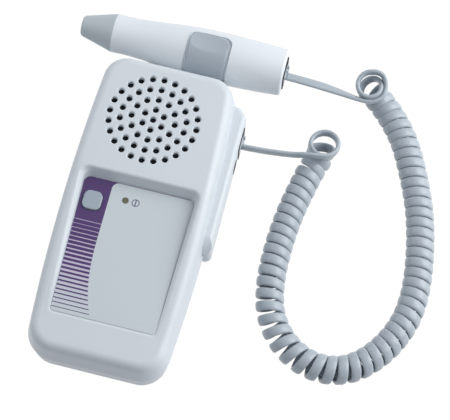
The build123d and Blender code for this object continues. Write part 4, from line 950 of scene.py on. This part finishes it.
class DOPPLER_OT_stage(bpy.types.Operator):
    """Sets the floor, the lamps and the camera"""

    bl_idname = "doppler.stage"
    bl_label = "Stage, lamps and camera"

    # Half the side of the square floor, in metres.
    FLOOR_HALF = 1.6
    # How much of the floor's own look gives way to plain white where an eye or a reflection sees it.
    WHITE_SHARE, WHITE_GLOW = 0.97, 1.035
    # The room's light at its darkest, towards -Y, and at its brightest, towards +Y.
    SKY_LOW, SKY_HIGH = 0.85, 1.15
    # Lamps' places and the sides of their squares, in metres; both aim at the same point.
    KEY_PLACE, KEY_SIZE = (0.58, 0.28, 0.47), 0.7
    FILL_PLACE, FILL_SIZE = (-0.42, 0.12, 0.24), 0.45
    LAMP_AIM = (0.03, 0.01, 0.0)
    # The camera: its place in metres, azimuth, elevation and roll in degrees, lens and sensor in millimetres.
    CAMERA_PLACE = (0.089708, -0.267483, 0.774778)
    CAMERA_TURN = (10.358, 69.288, 3.893)
    LENS, SENSOR = 144.0, 36.0

    def execute(self, context):
        scene = context.scene
        values = scene.doppler_stage
        scene.view_settings.view_transform = "Standard"
        self.lay_floor(scene)
        self.light_room(scene, values)
        self.place_camera(scene)
        return {"FINISHED"}

    def lay_floor(self, scene):
        """A white floor that the object's shadow falls on."""
        # Seamless white paper: it reads as white to the eye and in reflections, and keeps a faint shadow.
        paper = bpy.data.materials.new("paper_seamless_white")
        paper.use_nodes = True
        tree = paper.node_tree
        tree.nodes.clear()
        rays = add(tree, "ShaderNodeLightPath").outputs
        seen = math_node(tree, "ADD", rays["Is Camera Ray"], rays["Is Glossy Ray"])
        seen = math_node(tree, "ADD", seen, rays["Is Transmission Ray"], use_clamp=True)
        share = math_node(tree, "MULTIPLY", seen, self.WHITE_SHARE)
        matt = add(tree, "ShaderNodeBsdfDiffuse", {"Color": linear("#D2D4D8")})
        glow = add(tree, "ShaderNodeEmission", {"Color": (1, 1, 1, 1), "Strength": self.WHITE_GLOW})
        mixed = add(tree, "ShaderNodeMixShader", {0: share, 1: matt.outputs[0], 2: glow.outputs[0]})
        add(tree, "ShaderNodeOutputMaterial", {"Surface": mixed.outputs[0]})
        floor = bmesh.new()
        bmesh.ops.create_grid(floor, x_segments=1, y_segments=1, size=self.FLOOR_HALF)
        mesh = bpy.data.meshes.new("floor")
        floor.to_mesh(mesh)
        floor.free()
        mesh.materials.append(paper)
        ground = bpy.data.objects.new("floor", mesh)
        scene.collection.objects.link(ground)

    def light_room(self, scene, values):
        """The even light from all round, and the two lamps."""
        world = bpy.data.worlds.new("studio")
        world.use_nodes = True
        tree = world.node_tree
        tree.nodes.clear()
        rays = add(tree, "ShaderNodeLightPath").outputs
        # The room is brighter behind the probe than in front of the case.
        compass = add(tree, "ShaderNodeTexCoord").outputs["Generated"]
        toward = add(tree, "ShaderNodeSeparateXYZ", {"Vector": compass}).outputs["Y"]
        low, high = self.SKY_LOW * values.sky, self.SKY_HIGH * values.sky
        power = map_range(tree, toward, -1.0, 1.0, low, high)
        light = add(tree, "ShaderNodeBackground", {"Color": linear("#F4F7FF"), "Strength": power})
        white = add(tree, "ShaderNodeBackground", {"Color": (1, 1, 1, 1), "Strength": 1.0})
        sides = {0: rays["Is Camera Ray"], 1: light.outputs[0], 2: white.outputs[0]}
        both = add(tree, "ShaderNodeMixShader", sides)
        add(tree, "ShaderNodeOutputWorld", {"Surface": both.outputs[0]})
        scene.world = world

        for name, place, size, power in (
            ("key_lamp", self.KEY_PLACE, self.KEY_SIZE, values.key),
            ("fill_lamp", self.FILL_PLACE, self.FILL_SIZE, values.fill),
        ):
            lamp = bpy.data.lights.new(name, "AREA")
            lamp.shape = "SQUARE"
            lamp.size = size
            lamp.energy = power
            holder = bpy.data.objects.new(name, lamp)
            scene.collection.objects.link(holder)
            holder.location = place
            aim = Vector(self.LAMP_AIM) - Vector(place)
            holder.rotation_euler = aim.to_track_quat("-Z", "Y").to_euler()

    def place_camera(self, scene):
        """The camera, level with the horizon but for its roll."""
        azimuth, elevation, roll = (math.radians(a) for a in self.CAMERA_TURN)
        level = math.cos(elevation)
        back = Vector((math.sin(azimuth) * level, -math.cos(azimuth) * level, math.sin(elevation)))
        flat = Vector((math.cos(azimuth), math.sin(azimuth), 0.0))
        up = back.cross(flat)
        right = math.cos(roll) * flat + math.sin(roll) * up
        up = math.cos(roll) * up - math.sin(roll) * flat
        lens = bpy.data.cameras.new("camera")
        lens.lens = self.LENS
        lens.sensor_width = self.SENSOR
        lens.clip_start = 0.01
        lens.clip_end = 20.0
        camera = bpy.data.objects.new("camera", lens)
        scene.collection.objects.link(camera)
        turn = Matrix((right, up, back)).transposed().to_4x4()
        camera.matrix_world = Matrix.Translation(self.CAMERA_PLACE) @ turn
        scene.camera = camera


class DOPPLER_PT_panel(bpy.types.Panel):
    """Lists the pieces and their values"""

    bl_label = "Fetal doppler"
    bl_idname = "DOPPLER_PT_panel"
    bl_space_type = "VIEW_3D"
    bl_region_type = "UI"
    bl_category = "Doppler"

    def draw(self, context):
        for group in GROUPS:
            values = getattr(context.scene, GROUPS[group])
            box = self.layout.box()
            box.label(text=group.__doc__)
            for name in group.__annotations__:
                box.prop(values, name)
        for operator in STEPS:
            self.layout.operator(operator.bl_idname)


GROUPS = {
    DopplerCase: "doppler_case",
    DopplerLabel: "doppler_label",
    DopplerCord: "doppler_cord",
    DopplerStage: "doppler_stage",
}
STEPS = (
    DOPPLER_OT_stage,
    DOPPLER_OT_case,
    DOPPLER_OT_label,
    DOPPLER_OT_controls,
    DOPPLER_OT_probe,
    DOPPLER_OT_jacks,
    DOPPLER_OT_cord,
    DOPPLER_OT_inside,
)


def register():
    for group in GROUPS:
        bpy.utils.register_class(group)
        setattr(bpy.types.Scene, GROUPS[group], bpy.props.PointerProperty(type=group))
    for step in (*STEPS, DOPPLER_PT_panel):
        bpy.utils.register_class(step)


def unregister():
    for step in (DOPPLER_PT_panel, *reversed(STEPS)):
        bpy.utils.unregister_class(step)
    for group in GROUPS:
        delattr(bpy.types.Scene, GROUPS[group])
        bpy.utils.unregister_class(group)


def main():
    register()
    for step in STEPS:
        group, name = step.bl_idname.split(".")
        getattr(getattr(bpy.ops, group), name)()


if __name__ == "__main__":
    main()
